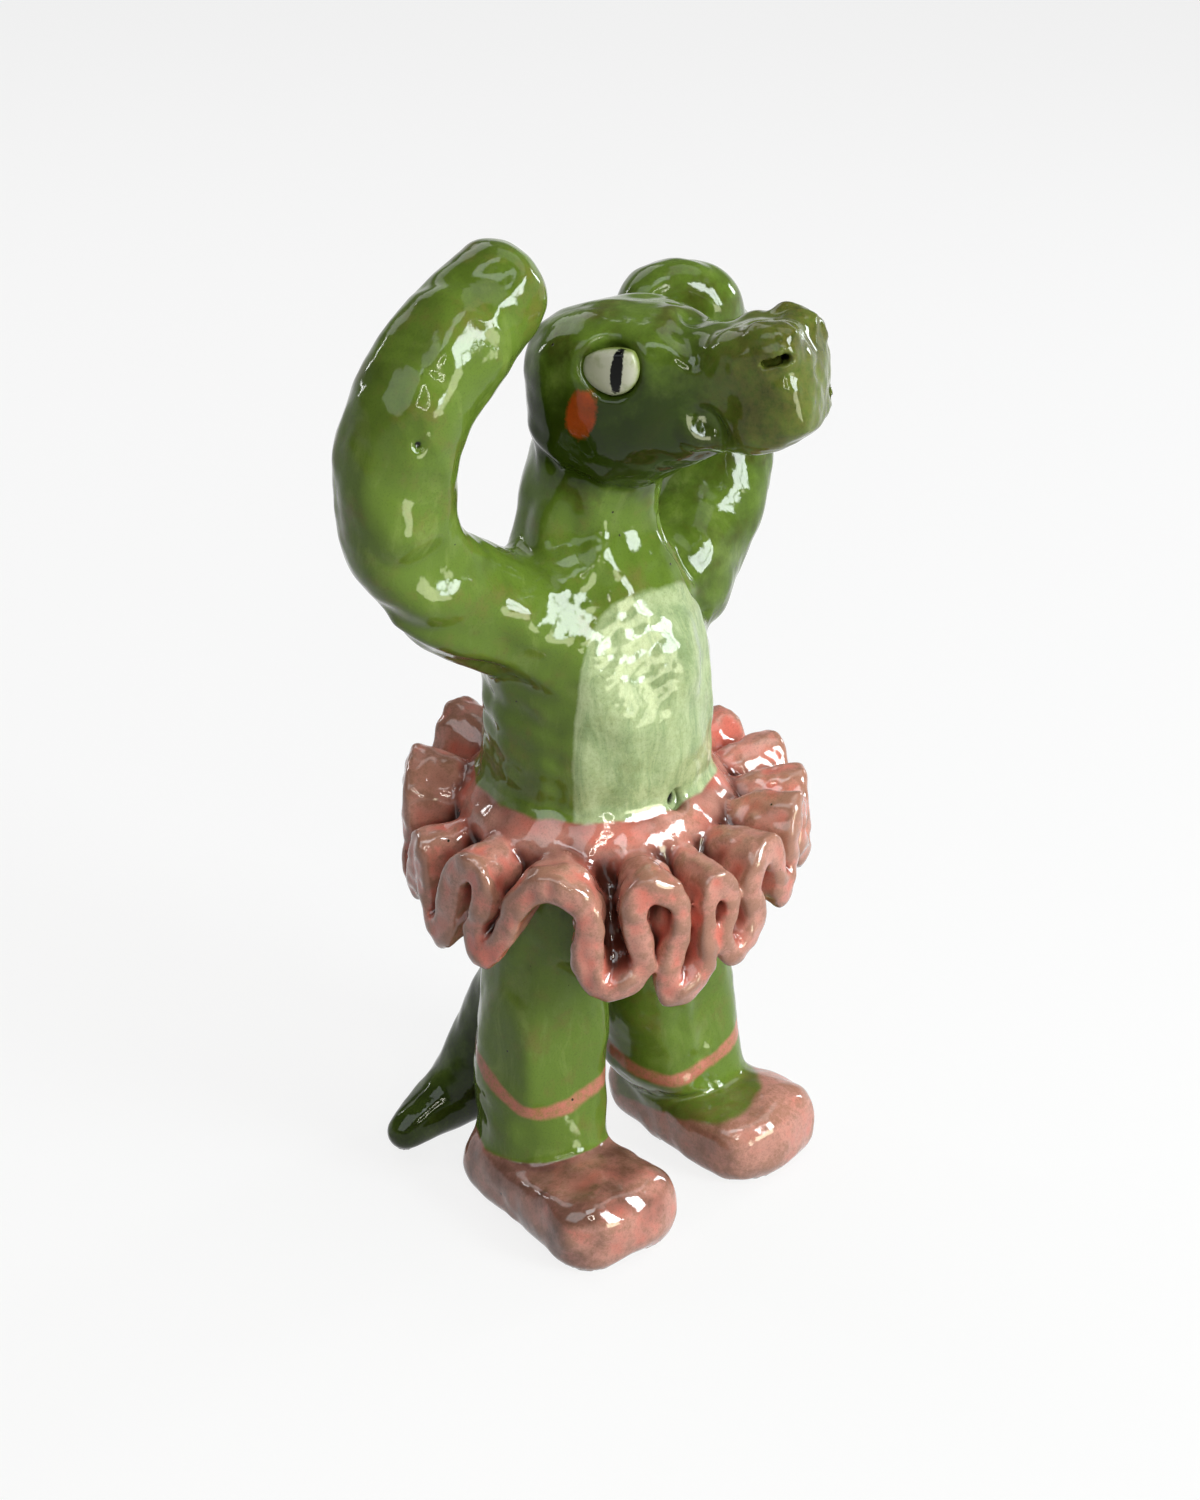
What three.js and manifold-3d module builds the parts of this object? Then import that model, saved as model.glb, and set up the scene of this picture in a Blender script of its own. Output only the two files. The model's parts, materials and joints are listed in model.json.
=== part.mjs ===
// A glazed clay crocodile that dances in a tutu and stands on two clogs and the tip of its tail.
// Every piece is shaped by itself and luted to its neighbours, as a potter builds such a figure.
// Millimetres, +Z up. The figure faces -Y, its right side is -X and its waist is on the Z axis.
import * as THREE from "three";
import { mergeVertices } from "three/addons/utils/BufferGeometryUtils.js";
import Module from "manifold-3d";

const wasm = await Module();
wasm.setup();

// Seam of dried slip between two luted pieces
const SEAM = 0.3;

// Torso, hips and neck
const TORSO_HALF_WIDTH = 19.7;
const TORSO_HALF_DEPTH = 19;
const TORSO_SHIFT_X = -0.9;
const TORSO_SHIFT_Y = 0.8;
const TORSO_WALL = 6;
const HIP_HALF_WIDTH = 23;
const HIP_SHIFT = 2;
const SEAT_DROP = 8;
const HIP_HEIGHT = 52;
const WAIST_HEIGHT = 77.6;
const CHEST_HEIGHT = 103;
const SHOULDER_HEIGHT = 111;
const SHOULDER_SLOPE = 6;
const NECK_HEIGHT = 127;
const NECK_RADIUS = 11;
const NECK_SETBACK = 3.5;
const HOLLOW_TOP = 108;
const VENT_RADIUS = 1;
const VENT_HEIGHT = 79.3;
const VENT_TURN = 2;

// Head, turned to the figure's left and tipped up
const HEAD_X = 1.6;
const HEAD_Y = -3.3;
const HEAD_HEIGHT = 146.5;
const HEAD_TURN = 25;
const HEAD_TIP = 12;
const SKULL_LENGTH = 32;
const BRIDGE_FORWARD = 17;
const SKULL_HALF_WIDTH = 13.4;
const SKULL_HALF_HEIGHT = 14.8;
const BRIDGE_HALF_WIDTH = 8.6;
const BRIDGE_HALF_HEIGHT = 10;
const BRIDGE_DROP = 1.2;
const SNOUT_LENGTH = 18;
const SNOUT_HALF_WIDTH = 10;
const SNOUT_HALF_HEIGHT = 9.6;
const SNOUT_RISE = 1.1;
const NOSTRIL_RADIUS = 1.2;
const NOSTRIL_SETBACK = 5;
const NOSTRIL_MOUND_RADIUS = 3.6;
const NOSTRIL_LIFT = 0.9;
const NOSTRIL_SPREAD = 5.2;
const EYE_HALF_LENGTH = 4.8;
const EYE_HALF_HEIGHT = 4.3;
const EYE_HALF_DEPTH = 3.4;
const EYE_FORWARD = 4.6;
const EYE_RISE = 6.6;
const EYE_SPREAD = 10.7;

// Arms, each a coil bent up beside the head
const ARM_ROOT_RADIUS = 11;
const ARM_RADIUS = 9.5;
const ELBOW_RADIUS = 8.9;
const HAND_RADIUS = 8.3;
const RIGHT_ARM_REACH = 38.3;
const RIGHT_ELBOW_HEIGHT = 134;
const RIGHT_HAND_HEIGHT = 165;
const RIGHT_HAND_REACH = 18.6;
const LEFT_ARM_REACH = 37;
const LEFT_ELBOW_HEIGHT = 127;
const LEFT_HAND_HEIGHT = 151;
const LEFT_HAND_REACH = 24.2;
const LEFT_HAND_SETBACK = 12;

// Tutu: a ring round the waist and a gathered slab
const BAND_WIDTH = 3.6;
const BAND_HEIGHT = 8;
const RUFFLE_WIDTH = 10.7;
const RUFFLE_SHIFT_X = 0.6;
const RUFFLE_SHIFT_Y = -0.4;
const RUFFLE_THICKNESS = 4.8;
const RUFFLE_DROP = 6;
const RUFFLE_DEPTH = 20;
const RUFFLE_LIFT = 0.8;
const FOLD_CLEARANCE = 0.7;
const FOLD_ROUNDNESS = 1.05;
const FOLD_STEPS = 6;
const BEND_FILL = 0.75;

// Rim of the ruffle in order round the waist: angle from the front, and rise above the gathered edge as
// a share of the ruffle's depth, crests and hollows in turn
const RUFFLE_FOLDS = [
  [-106, 0.17], [-95, -0.83], [-84, 0.17], [-73, -0.8], [-53, 0.2], [-38, -0.88],
  [-28, 0.17], [-19, -0.9], [-9, 0.17], [0, -0.73], [10, 0.2], [20, -0.58],
  [32, 0.17], [44, -0.53], [57, 0.17], [68, -0.58], [79, 0.22], [90, -0.68],
  [101, 0.22], [112, -0.73], [124, 0.17], [135, -0.78], [147, 0.17], [158, -0.78],
  [169, 0.35], [180, -0.73], [192, 0.45], [204, -0.68], [225, 0.37], [243, -0.73],
];

// Legs, clogs and tail
const RIGHT_LEG_X = -14.8;
const LEFT_LEG_X = 18.3;
const LEG_RADIUS = 11;
const LEG_LEAN = 3.4;
const SHOE_LENGTH = 41;
const SHOE_HALF_WIDTH = 12.3;
const RIGHT_SHOE_X = -16.8;
const LEFT_SHOE_X = 19.7;
const HEEL_HEIGHT = 12.5;
const INSTEP_HEIGHT = 11.5;
const TOE_HEIGHT = 13.8;
const RIGHT_TOE_FRONT = -30.4;
const LEFT_TOE_FRONT = -28;
const TAIL_ROOT_RADIUS = 9.2;
const TAIL_TIP_RADIUS = 3.2;
const TAIL_TIP_X = -27.3;
const TAIL_SETBACK = 24;

// Glaze colours
const GREEN = 0x5f8737;
const PINK = 0xcf7b6a;
const WHITE = 0xe3e2d2;

// Fineness of the facets
const RING_SIDES = 16;
const DOME_RINGS = 3;

// A superellipse keeps the oval round at power 2 and makes it boxier above that.
function boxy(value, power) {
  return Math.sign(value) * Math.abs(value) ** (2 / power);
}

// A pinched coil of clay: ovals carried along a smooth line through the stations, domed at both ends.
// A station is [x, y, z, half width, half depth]. The width lies along sideways, the depth across it.
function coil(stations, { sideways, grow = 0, steps = 12, power = 2, startDome = 1, endDome = 1 }) {
  const line = new THREE.CatmullRomCurve3(stations.map(([x, y, z]) => new THREE.Vector3(x, y, z)));
  const size = new THREE.CatmullRomCurve3(stations.map((s) => new THREE.Vector3(s[3], s[4], 0)));
  const rings = DOME_RINGS * 2 + steps;
  const geometry = new THREE.SphereGeometry(1, RING_SIDES, rings);
  const place = geometry.attributes.position;
  for (let ring = 0; ring <= rings; ring += 1) {
    const run = THREE.MathUtils.clamp((ring - DOME_RINGS) / steps, 0, 1);
    const early = Math.max(DOME_RINGS - ring, 0) / DOME_RINGS;
    const late = Math.max(ring - DOME_RINGS - steps, 0) / DOME_RINGS;
    const slope = (early + late) * Math.PI / 2;
    const tangent = line.getTangent(run);
    const half = size.getPoint(run);
    const wide = half.x + grow;
    const deep = half.y + grow;
    const dome = (early > 0 ? startDome : endDome) * Math.min(half.x, half.y) + grow;
    const bulge = (early > 0 ? -dome : dome) * Math.sin(slope);
    const centre = line.getPoint(run).addScaledVector(tangent, bulge);
    const side = sideways.clone().addScaledVector(tangent, -sideways.dot(tangent)).normalize();
    const up = tangent.clone().cross(side);
    const shrink = ring === 0 || ring === rings ? 0 : Math.cos(slope);
    for (let step = 0; step <= RING_SIDES; step += 1) {
      const turn = step / RING_SIDES * Math.PI * 2;
      const point = centre.clone()
        .addScaledVector(side, -boxy(Math.cos(turn), power) * wide * shrink)
        .addScaledVector(up, boxy(Math.sin(turn), power) * deep * shrink);
      place.setXYZ(ring * (RING_SIDES + 1) + step, point.x, point.y, point.z);
    }
  }
  return solid(geometry);
}

// A three.js geometry as a manifold solid
function solid(geometry) {
  geometry.deleteAttribute("normal");
  geometry.deleteAttribute("uv");
  const merged = mergeVertices(geometry, 1e-3);
  return new wasm.Manifold(new wasm.Mesh({
    numProp: 3,
    vertProperties: Float32Array.from(merged.attributes.position.array),
    triVerts: Uint32Array.from(merged.index.array),
  }));
}

// A manifold solid as a named mesh in its glaze
function mesh(name, body, colour) {
  const { vertProperties, triVerts } = body.getMesh();
  const geometry = new THREE.BufferGeometry();
  geometry.setAttribute("position", new THREE.BufferAttribute(Float32Array.from(vertProperties), 3));
  geometry.setIndex(Array.from(triVerts));
  geometry.computeVertexNormals();
  const glaze = new THREE.MeshStandardMaterial({ color: colour, roughness: 0.12, metalness: 0 });
  const piece = new THREE.Mesh(geometry, glaze);
  piece.name = name;
  return piece;
}

// A block between two heights, wide enough to trim any piece
function layer(bottom, top) {
  const reach = 400;
  const block = new THREE.BoxGeometry(reach, reach, top - bottom);
  return solid(block.translate(0, 0, (top + bottom) / 2));
}

function ellipsoid(halfX, halfY, halfZ, x, y, z) {
  const ball = new THREE.SphereGeometry(1, 12, 8);
  return solid(ball.scale(halfX, halfY, halfZ).translate(x, y, z));
}

const ACROSS = new THREE.Vector3(1, 0, 0);
const BACKWARD = new THREE.Vector3(0, 1, 0);

// Head frame: forward is local -Y, the figure's left is local +X
const headFrame = new THREE.Matrix4().makeRotationZ(THREE.MathUtils.degToRad(HEAD_TURN));
headFrame.multiply(new THREE.Matrix4().makeRotationX(THREE.MathUtils.degToRad(-HEAD_TIP)));
headFrame.setPosition(HEAD_X, HEAD_Y, HEAD_HEIGHT);

function inHeadFrame(body) {
  return body.transform(headFrame.elements);
}

// The skull narrows forward to the bridge that carries the snout.
function skullForm(grow) {
  const back = SKULL_LENGTH / 4;
  return coil([
    [0, back, 0.4, SKULL_HALF_WIDTH * 0.94, SKULL_HALF_HEIGHT * 0.93],
    [0, 0, 0, SKULL_HALF_WIDTH, SKULL_HALF_HEIGHT],
    [0, -back, 0, SKULL_HALF_WIDTH * 0.9, SKULL_HALF_HEIGHT * 0.88],
    [0, -BRIDGE_FORWARD, -BRIDGE_DROP, BRIDGE_HALF_WIDTH, BRIDGE_HALF_HEIGHT],
  ], { sideways: ACROSS, grow, power: 2.3, startDome: 0.62, endDome: 0.3, steps: 10 });
}

function snoutForm(grow) {
  const tip = BRIDGE_FORWARD + SNOUT_LENGTH - SNOUT_HALF_HEIGHT * 0.35;
  const middle = (BRIDGE_FORWARD + tip) / 2;
  const muzzle = coil([
    [0, -BRIDGE_FORWARD, -BRIDGE_DROP, BRIDGE_HALF_WIDTH, BRIDGE_HALF_HEIGHT],
    [0, -middle, 0, SNOUT_HALF_WIDTH, SNOUT_HALF_HEIGHT],
    [0, -tip, SNOUT_RISE, SNOUT_HALF_WIDTH * 0.96, SNOUT_HALF_HEIGHT - SNOUT_RISE],
  ], { sideways: ACROSS, grow, power: 3, startDome: 0.1, endDome: 0.35, steps: 7 });
  const round = NOSTRIL_MOUND_RADIUS + grow;
  const moundHeight = SNOUT_HALF_HEIGHT + NOSTRIL_LIFT - NOSTRIL_MOUND_RADIUS;
  const mounds = [-1, 1].map((side) => ellipsoid(
    round, round * 1.3, round,
    side * NOSTRIL_SPREAD, NOSTRIL_MOUND_RADIUS * 0.6 - tip, moundHeight,
  ));
  return wasm.Manifold.union([muzzle, ...mounds]);
}

function nostril(side) {
  return ellipsoid(
    NOSTRIL_RADIUS * 1.4, NOSTRIL_RADIUS * 2, NOSTRIL_RADIUS,
    side * SNOUT_HALF_WIDTH * 0.9, NOSTRIL_SETBACK - BRIDGE_FORWARD - SNOUT_LENGTH, SNOUT_HALF_HEIGHT * 0.5,
  );
}

function eyeForm(side, grow) {
  return ellipsoid(
    EYE_HALF_DEPTH + grow, EYE_HALF_LENGTH + grow, EYE_HALF_HEIGHT + grow,
    side * EYE_SPREAD, -EYE_FORWARD, EYE_RISE,
  );
}

// Torso with the neck, from the seat up into the head
function torsoForm(grow) {
  const belly = (WAIST_HEIGHT + CHEST_HEIGHT) / 2;
  const slope = SHOULDER_HEIGHT + SHOULDER_SLOPE / 3;
  const shiftX = TORSO_SHIFT_X;
  const shiftY = TORSO_SHIFT_Y;
  return coil([
    [HIP_SHIFT, 0, HIP_HEIGHT, HIP_HALF_WIDTH, TORSO_HALF_DEPTH - 1],
    [HIP_SHIFT / 2, 0, (HIP_HEIGHT + WAIST_HEIGHT) / 2, HIP_HALF_WIDTH - 1.6, TORSO_HALF_DEPTH - 0.4],
    [shiftX, shiftY, WAIST_HEIGHT, TORSO_HALF_WIDTH, TORSO_HALF_DEPTH],
    [shiftX, shiftY - 0.4, belly, TORSO_HALF_WIDTH, TORSO_HALF_DEPTH + 0.6],
    [shiftX, shiftY, CHEST_HEIGHT, TORSO_HALF_WIDTH - 0.4, TORSO_HALF_DEPTH - 0.8],
    [shiftX, NECK_SETBACK / 2, slope, TORSO_HALF_WIDTH - 3.4, NECK_RADIUS + 3.6],
    [0, NECK_SETBACK, NECK_HEIGHT - SHOULDER_SLOPE / 2, NECK_RADIUS + 0.6, NECK_RADIUS + 0.2],
    [HEAD_X / 2, NECK_SETBACK - 1, (NECK_HEIGHT * 2 + HEAD_HEIGHT) / 3, NECK_RADIUS, NECK_RADIUS],
    [HEAD_X, HEAD_Y + 3, HEAD_HEIGHT - 1, NECK_RADIUS - 2.6, NECK_RADIUS - 2.6],
  ], { sideways: ACROSS, grow, steps: 24, startDome: SEAT_DROP / (TORSO_HALF_DEPTH - 1), endDome: 0.2 });
}

function ventHole() {
  const length = TORSO_WALL * 3;
  const drill = new THREE.CylinderGeometry(VENT_RADIUS, VENT_RADIUS, length, 12);
  drill.translate(0, TORSO_WALL - TORSO_HALF_DEPTH, 0);
  drill.rotateZ(THREE.MathUtils.degToRad(VENT_TURN));
  return solid(drill.translate(0, 0, VENT_HEIGHT));
}

function rightArmForm(grow) {
  const back = NECK_SETBACK;
  const reach = RIGHT_ARM_REACH;
  return coil([
    [-TORSO_HALF_WIDTH * 0.6, back, SHOULDER_HEIGHT - 2.6, ARM_ROOT_RADIUS, ARM_ROOT_RADIUS],
    [-TORSO_HALF_WIDTH - 3.4, back, SHOULDER_HEIGHT + 3.4, ARM_ROOT_RADIUS - 0.6, ARM_ROOT_RADIUS - 0.6],
    [4.9 - reach, back, RIGHT_ELBOW_HEIGHT - 11.7, ELBOW_RADIUS, ELBOW_RADIUS],
    [0.5 - reach, back, RIGHT_ELBOW_HEIGHT - 5.4, ELBOW_RADIUS, ELBOW_RADIUS],
    [-reach, back, RIGHT_ELBOW_HEIGHT + 6.3, ARM_RADIUS, ARM_RADIUS],
    [3 - reach, back, RIGHT_HAND_HEIGHT - 15.7, ARM_RADIUS, ARM_RADIUS],
    [-RIGHT_HAND_REACH - 7.6, back, RIGHT_HAND_HEIGHT - 5.7, ARM_RADIUS, ARM_RADIUS],
    [-RIGHT_HAND_REACH, back, RIGHT_HAND_HEIGHT, HAND_RADIUS, HAND_RADIUS],
  ], { sideways: BACKWARD, grow, steps: 24, startDome: 0.3 });
}

function leftArmForm(grow) {
  const back = LEFT_HAND_SETBACK;
  const reach = LEFT_ARM_REACH;
  return coil([
    [TORSO_HALF_WIDTH * 0.5, NECK_SETBACK, SHOULDER_HEIGHT - 7, ARM_ROOT_RADIUS, ARM_ROOT_RADIUS],
    [TORSO_HALF_WIDTH, NECK_SETBACK + 1, SHOULDER_HEIGHT - 1, ARM_ROOT_RADIUS, ARM_ROOT_RADIUS],
    [reach - 8.6, back - 5, LEFT_ELBOW_HEIGHT - 9.6, ELBOW_RADIUS + 1.2, ELBOW_RADIUS + 1.2],
    [reach - 2.4, back - 3, LEFT_ELBOW_HEIGHT, ELBOW_RADIUS + 0.3, ELBOW_RADIUS + 0.3],
    [reach - 0.2, back - 1.4, LEFT_ELBOW_HEIGHT + 8, ELBOW_RADIUS, ELBOW_RADIUS],
    [reach - 4.2, back, LEFT_HAND_HEIGHT - 6.6, ELBOW_RADIUS, ELBOW_RADIUS],
    [LEFT_HAND_REACH, back, LEFT_HAND_HEIGHT, HAND_RADIUS, HAND_RADIUS],
  ], { sideways: BACKWARD, grow, steps: 22, startDome: 0.3 });
}

// The band is a wedge of clay laid round the waist.
const BAND_RADIUS = TORSO_HALF_WIDTH + BAND_WIDTH;

function bandForm(grow) {
  const inside = TORSO_HALF_DEPTH - TORSO_WALL / 2;
  const top = WAIST_HEIGHT + 1 + grow;
  const bottom = WAIST_HEIGHT - BAND_HEIGHT - grow;
  const outside = BAND_RADIUS + grow;
  const profile = [
    [inside, bottom],
    [outside - 1.5, bottom],
    [outside, bottom + 1.5],
    [outside, top - 4],
    [outside - 1.6, top - 2],
    [TORSO_HALF_WIDTH + 0.4, top],
    [inside, top],
    [inside, bottom],
  ].map(([radius, height]) => new THREE.Vector2(radius, height));
  const ring = new THREE.LatheGeometry(profile, 48);
  return solid(ring.rotateX(Math.PI / 2).translate(TORSO_SHIFT_X, TORSO_SHIFT_Y, 0));
}

// Middle of the gathered slab. A fold is a half wave between two entries of the list, widened at both
// ends. Reach runs from 0 at the band to 1 at the rim.
function ruffleMiddle(station, reach) {
  const count = RUFFLE_FOLDS.length;
  const fold = Math.floor(station / FOLD_STEPS);
  const share = station / FOLD_STEPS - fold;
  const gatherHeight = WAIST_HEIGHT - RUFFLE_DROP;
  const entry = (index) => {
    const [angle, rise] = RUFFLE_FOLDS[(index + count) % count];
    return [angle + Math.floor(index / count) * 360, gatherHeight + rise * RUFFLE_DEPTH];
  };
  const [startAngle, startHeight] = entry(fold);
  const [endAngle, endHeight] = entry(fold + 1);
  const inset = Math.sign(startHeight - endHeight) * RUFFLE_THICKNESS / 2;
  const swing = (1 - Math.cos(share * Math.PI)) / 2;
  const rimHeight = THREE.MathUtils.lerp(startHeight - inset, endHeight + inset, swing);
  const widened = share + reach * FOLD_ROUNDNESS * Math.sin(share * Math.PI * 2) / (Math.PI * 2);
  const radius = BAND_RADIUS + THREE.MathUtils.lerp(SEAM, RUFFLE_WIDTH, reach);
  return {
    radius,
    along: THREE.MathUtils.degToRad(THREE.MathUtils.lerp(startAngle, endAngle, widened)) * radius,
    height: THREE.MathUtils.lerp(gatherHeight, rimHeight, reach ** RUFFLE_LIFT),
    crest: THREE.MathUtils.degToRad(startHeight > endHeight ? startAngle : endAngle) * radius,
    hollow: THREE.MathUtils.degToRad(startHeight > endHeight ? endAngle : startAngle) * radius,
  };
}

// A point on the slab, face 1 on its top and -1 below. The slab thins inside a bend, and its two strands
// keep clear of each other on either side of the bend's middle.
function rufflePoint(station, reach, face) {
  const here = ruffleMiddle(station, reach);
  const before = ruffleMiddle(station - 1, reach);
  const after = ruffleMiddle(station + 1, reach);
  const run = after.along - before.along;
  const rise = after.height - before.height;
  const length = Math.hypot(run, rise);
  const backRun = here.along - before.along;
  const backRise = here.height - before.height;
  const turn = (backRun * rise - backRise * run) * face;
  const bend = length * Math.hypot(backRun, backRise) * Math.hypot(run - backRun, rise - backRise);
  const bendRadius = turn > 0 ? bend / turn / 2 : Infinity;
  const half = Math.min(RUFFLE_THICKNESS / 2, bendRadius * BEND_FILL) * face;
  const middle = face > 0 ? here.hollow : here.crest;
  const offset = here.along - middle;
  const least = Math.min(FOLD_CLEARANCE / 2, Math.abs(offset));
  const moved = offset - half * rise / length;
  const clear = offset < 0 ? Math.min(moved, -least) : Math.max(moved, least);
  const angle = (middle + (Math.abs(offset) < 1e-6 ? 0 : clear)) / here.radius;
  const x = THREE.MathUtils.lerp(TORSO_SHIFT_X, RUFFLE_SHIFT_X, reach);
  const y = THREE.MathUtils.lerp(TORSO_SHIFT_Y, RUFFLE_SHIFT_Y, reach);
  const height = here.height + half * run / length;
  return [x + Math.sin(angle) * here.radius, y - Math.cos(angle) * here.radius, height];
}

// The gathered slab: flat against the band, folded more and more towards its rounded rim
function ruffleForm() {
  const stations = RUFFLE_FOLDS.length * FOLD_STEPS;
  const topSide = [[1.08, 0.5], [0.97, 1], [0.65, 1], [0.3, 1], [0, 1]];
  const underSide = topSide.map(([reach, face]) => [reach, -face]).reverse();
  const section = [[1.12, 0], ...topSide, ...underSide];
  const geometry = new THREE.TorusGeometry(2, 1, section.length, stations);
  const place = geometry.attributes.position;
  for (let point = 0; point <= section.length; point += 1) {
    const [reach, face] = section[point % section.length];
    for (let station = 0; station <= stations; station += 1) {
      place.setXYZ(point * (stations + 1) + station, ...rufflePoint(station % stations, reach, face));
    }
  }
  return solid(geometry);
}

function legForm(x, grow) {
  const lean = Math.sign(x) * LEG_LEAN;
  return coil([
    [x - lean, 1, HIP_HEIGHT - 1, LEG_RADIUS - 0.6, LEG_RADIUS - 0.6],
    [x - lean / 2, 1, HIP_HEIGHT * 0.66, LEG_RADIUS - 0.2, LEG_RADIUS - 0.2],
    [x, 0.4, HIP_HEIGHT * 0.42, LEG_RADIUS, LEG_RADIUS],
    [x, -1, INSTEP_HEIGHT, LEG_RADIUS, LEG_RADIUS + 1],
  ], { sideways: ACROSS, grow, steps: 10, startDome: 0.2, endDome: 0.5 });
}

// A clog from heel to raised toe. Its ovals reach below the ground and the flat sole cuts them there.
function shoeForm(x, toeFront, grow) {
  const below = 1.5;
  const dome = 0.8;
  const toe = toeFront + dome * (TOE_HEIGHT + below) / 2;
  const heel = toeFront + SHOE_LENGTH - dome * (HEEL_HEIGHT + below) / 2;
  const station = (y, half, top) => [x, y, (top - below) / 2, half, (top + below) / 2];
  const body = coil([
    station(heel, SHOE_HALF_WIDTH - 1.2, HEEL_HEIGHT),
    station((heel + toe) / 2, SHOE_HALF_WIDTH - 0.4, INSTEP_HEIGHT),
    station(toe + SHOE_LENGTH / 7, SHOE_HALF_WIDTH, TOE_HEIGHT - 1),
    station(toe, SHOE_HALF_WIDTH, TOE_HEIGHT),
  ], { sideways: ACROSS, grow, steps: 12, power: 2.9, startDome: dome, endDome: dome });
  return body.subtract(layer(-40, -grow));
}

// The tail comes down from the hips and lies on the ground, which flattens it a little.
function tailForm(grow) {
  const half = (share) => THREE.MathUtils.lerp(TAIL_ROOT_RADIUS, TAIL_TIP_RADIUS, share);
  const body = coil([
    [-1, TORSO_HALF_DEPTH - 7, HIP_HEIGHT - 6, half(0), half(0)],
    [-5, TORSO_HALF_DEPTH, HIP_HEIGHT - 28, half(0.08), half(0.08)],
    [-11, TAIL_SETBACK - 1.4, half(0.25) * 1.38, half(0.25), half(0.25)],
    [TAIL_TIP_X + 9.8, TAIL_SETBACK, half(0.5), half(0.5), half(0.5)],
    [TAIL_TIP_X + 4.3, TAIL_SETBACK, half(0.75), half(0.75), half(0.75)],
    [TAIL_TIP_X, TAIL_SETBACK, half(1), half(1), half(1)],
  ], { sideways: BACKWARD, grow, steps: 16, startDome: 0.3 });
  return body.subtract(layer(-40, -grow));
}

// Cut each piece where a neighbour beds into it
const headEyes = wasm.Manifold.union([eyeForm(-1, SEAM), eyeForm(1, SEAM)]);
const skull = skullForm(0).subtract(headEyes);
const snout = snoutForm(0).subtract(skullForm(SEAM)).subtract(nostril(-1)).subtract(nostril(1));

const hollow = torsoForm(-TORSO_WALL).intersect(layer(0, HOLLOW_TOP));
const torso = torsoForm(0)
  .intersect(layer(HIP_HEIGHT, HEAD_HEIGHT))
  .subtract(hollow)
  .subtract(ventHole())
  .subtract(inHeadFrame(skullForm(SEAM)));
const hips = torsoForm(0).intersect(layer(0, HIP_HEIGHT - SEAM));
const rightArm = rightArmForm(0).subtract(torsoForm(SEAM));
const leftArm = leftArmForm(0).subtract(torsoForm(SEAM));
const band = bandForm(0).subtract(torsoForm(SEAM));
const rightLeg = legForm(RIGHT_LEG_X, 0)
  .subtract(torsoForm(SEAM))
  .subtract(shoeForm(RIGHT_SHOE_X, RIGHT_TOE_FRONT, SEAM));
const leftLeg = legForm(LEFT_LEG_X, 0)
  .subtract(torsoForm(SEAM))
  .subtract(shoeForm(LEFT_SHOE_X, LEFT_TOE_FRONT, SEAM));
const tail = tailForm(0)
  .subtract(torsoForm(SEAM))
  .subtract(legForm(RIGHT_LEG_X, SEAM))
  .subtract(legForm(LEFT_LEG_X, SEAM));

const head = new THREE.Group();
head.applyMatrix4(headFrame);
head.add(
  mesh("head", skull, GREEN),
  mesh("snout", snout, GREEN),
  mesh("right_eye", eyeForm(-1, 0), WHITE),
  mesh("left_eye", eyeForm(1, 0), WHITE),
);

const tutu = new THREE.Group();
tutu.add(mesh("waistband", band, PINK), mesh("ruffle", ruffleForm(), PINK));

const legs = new THREE.Group();
legs.add(
  mesh("right_leg", rightLeg, GREEN),
  mesh("left_leg", leftLeg, GREEN),
  mesh("right_shoe", shoeForm(RIGHT_SHOE_X, RIGHT_TOE_FRONT, 0), PINK),
  mesh("left_shoe", shoeForm(LEFT_SHOE_X, LEFT_TOE_FRONT, 0), PINK),
);

const crocodile = new THREE.Group();
crocodile.add(
  mesh("torso", torso, GREEN),
  mesh("hip_base", hips, GREEN),
  mesh("right_arm", rightArm, GREEN),
  mesh("left_arm", leftArm, GREEN),
  mesh("tail", tail, GREEN),
  head,
  tutu,
  legs,
);

// The origin lies on the ground under the middle of the figure
const bounds = new THREE.Box3().setFromObject(crocodile, true);
const middle = bounds.getCenter(new THREE.Vector3());
crocodile.position.set(-middle.x, -middle.y, -bounds.min.z);

export default crocodile;
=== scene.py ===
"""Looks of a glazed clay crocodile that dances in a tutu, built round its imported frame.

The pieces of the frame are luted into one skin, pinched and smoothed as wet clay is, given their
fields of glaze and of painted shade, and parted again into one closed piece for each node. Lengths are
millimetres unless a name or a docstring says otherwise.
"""
import json
import logging
import math
from dataclasses import dataclass, field
from enum import Enum

import bmesh
import bpy
import numpy as np
from mathutils import Matrix, Vector
from mathutils.bvhtree import BVHTree

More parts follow.
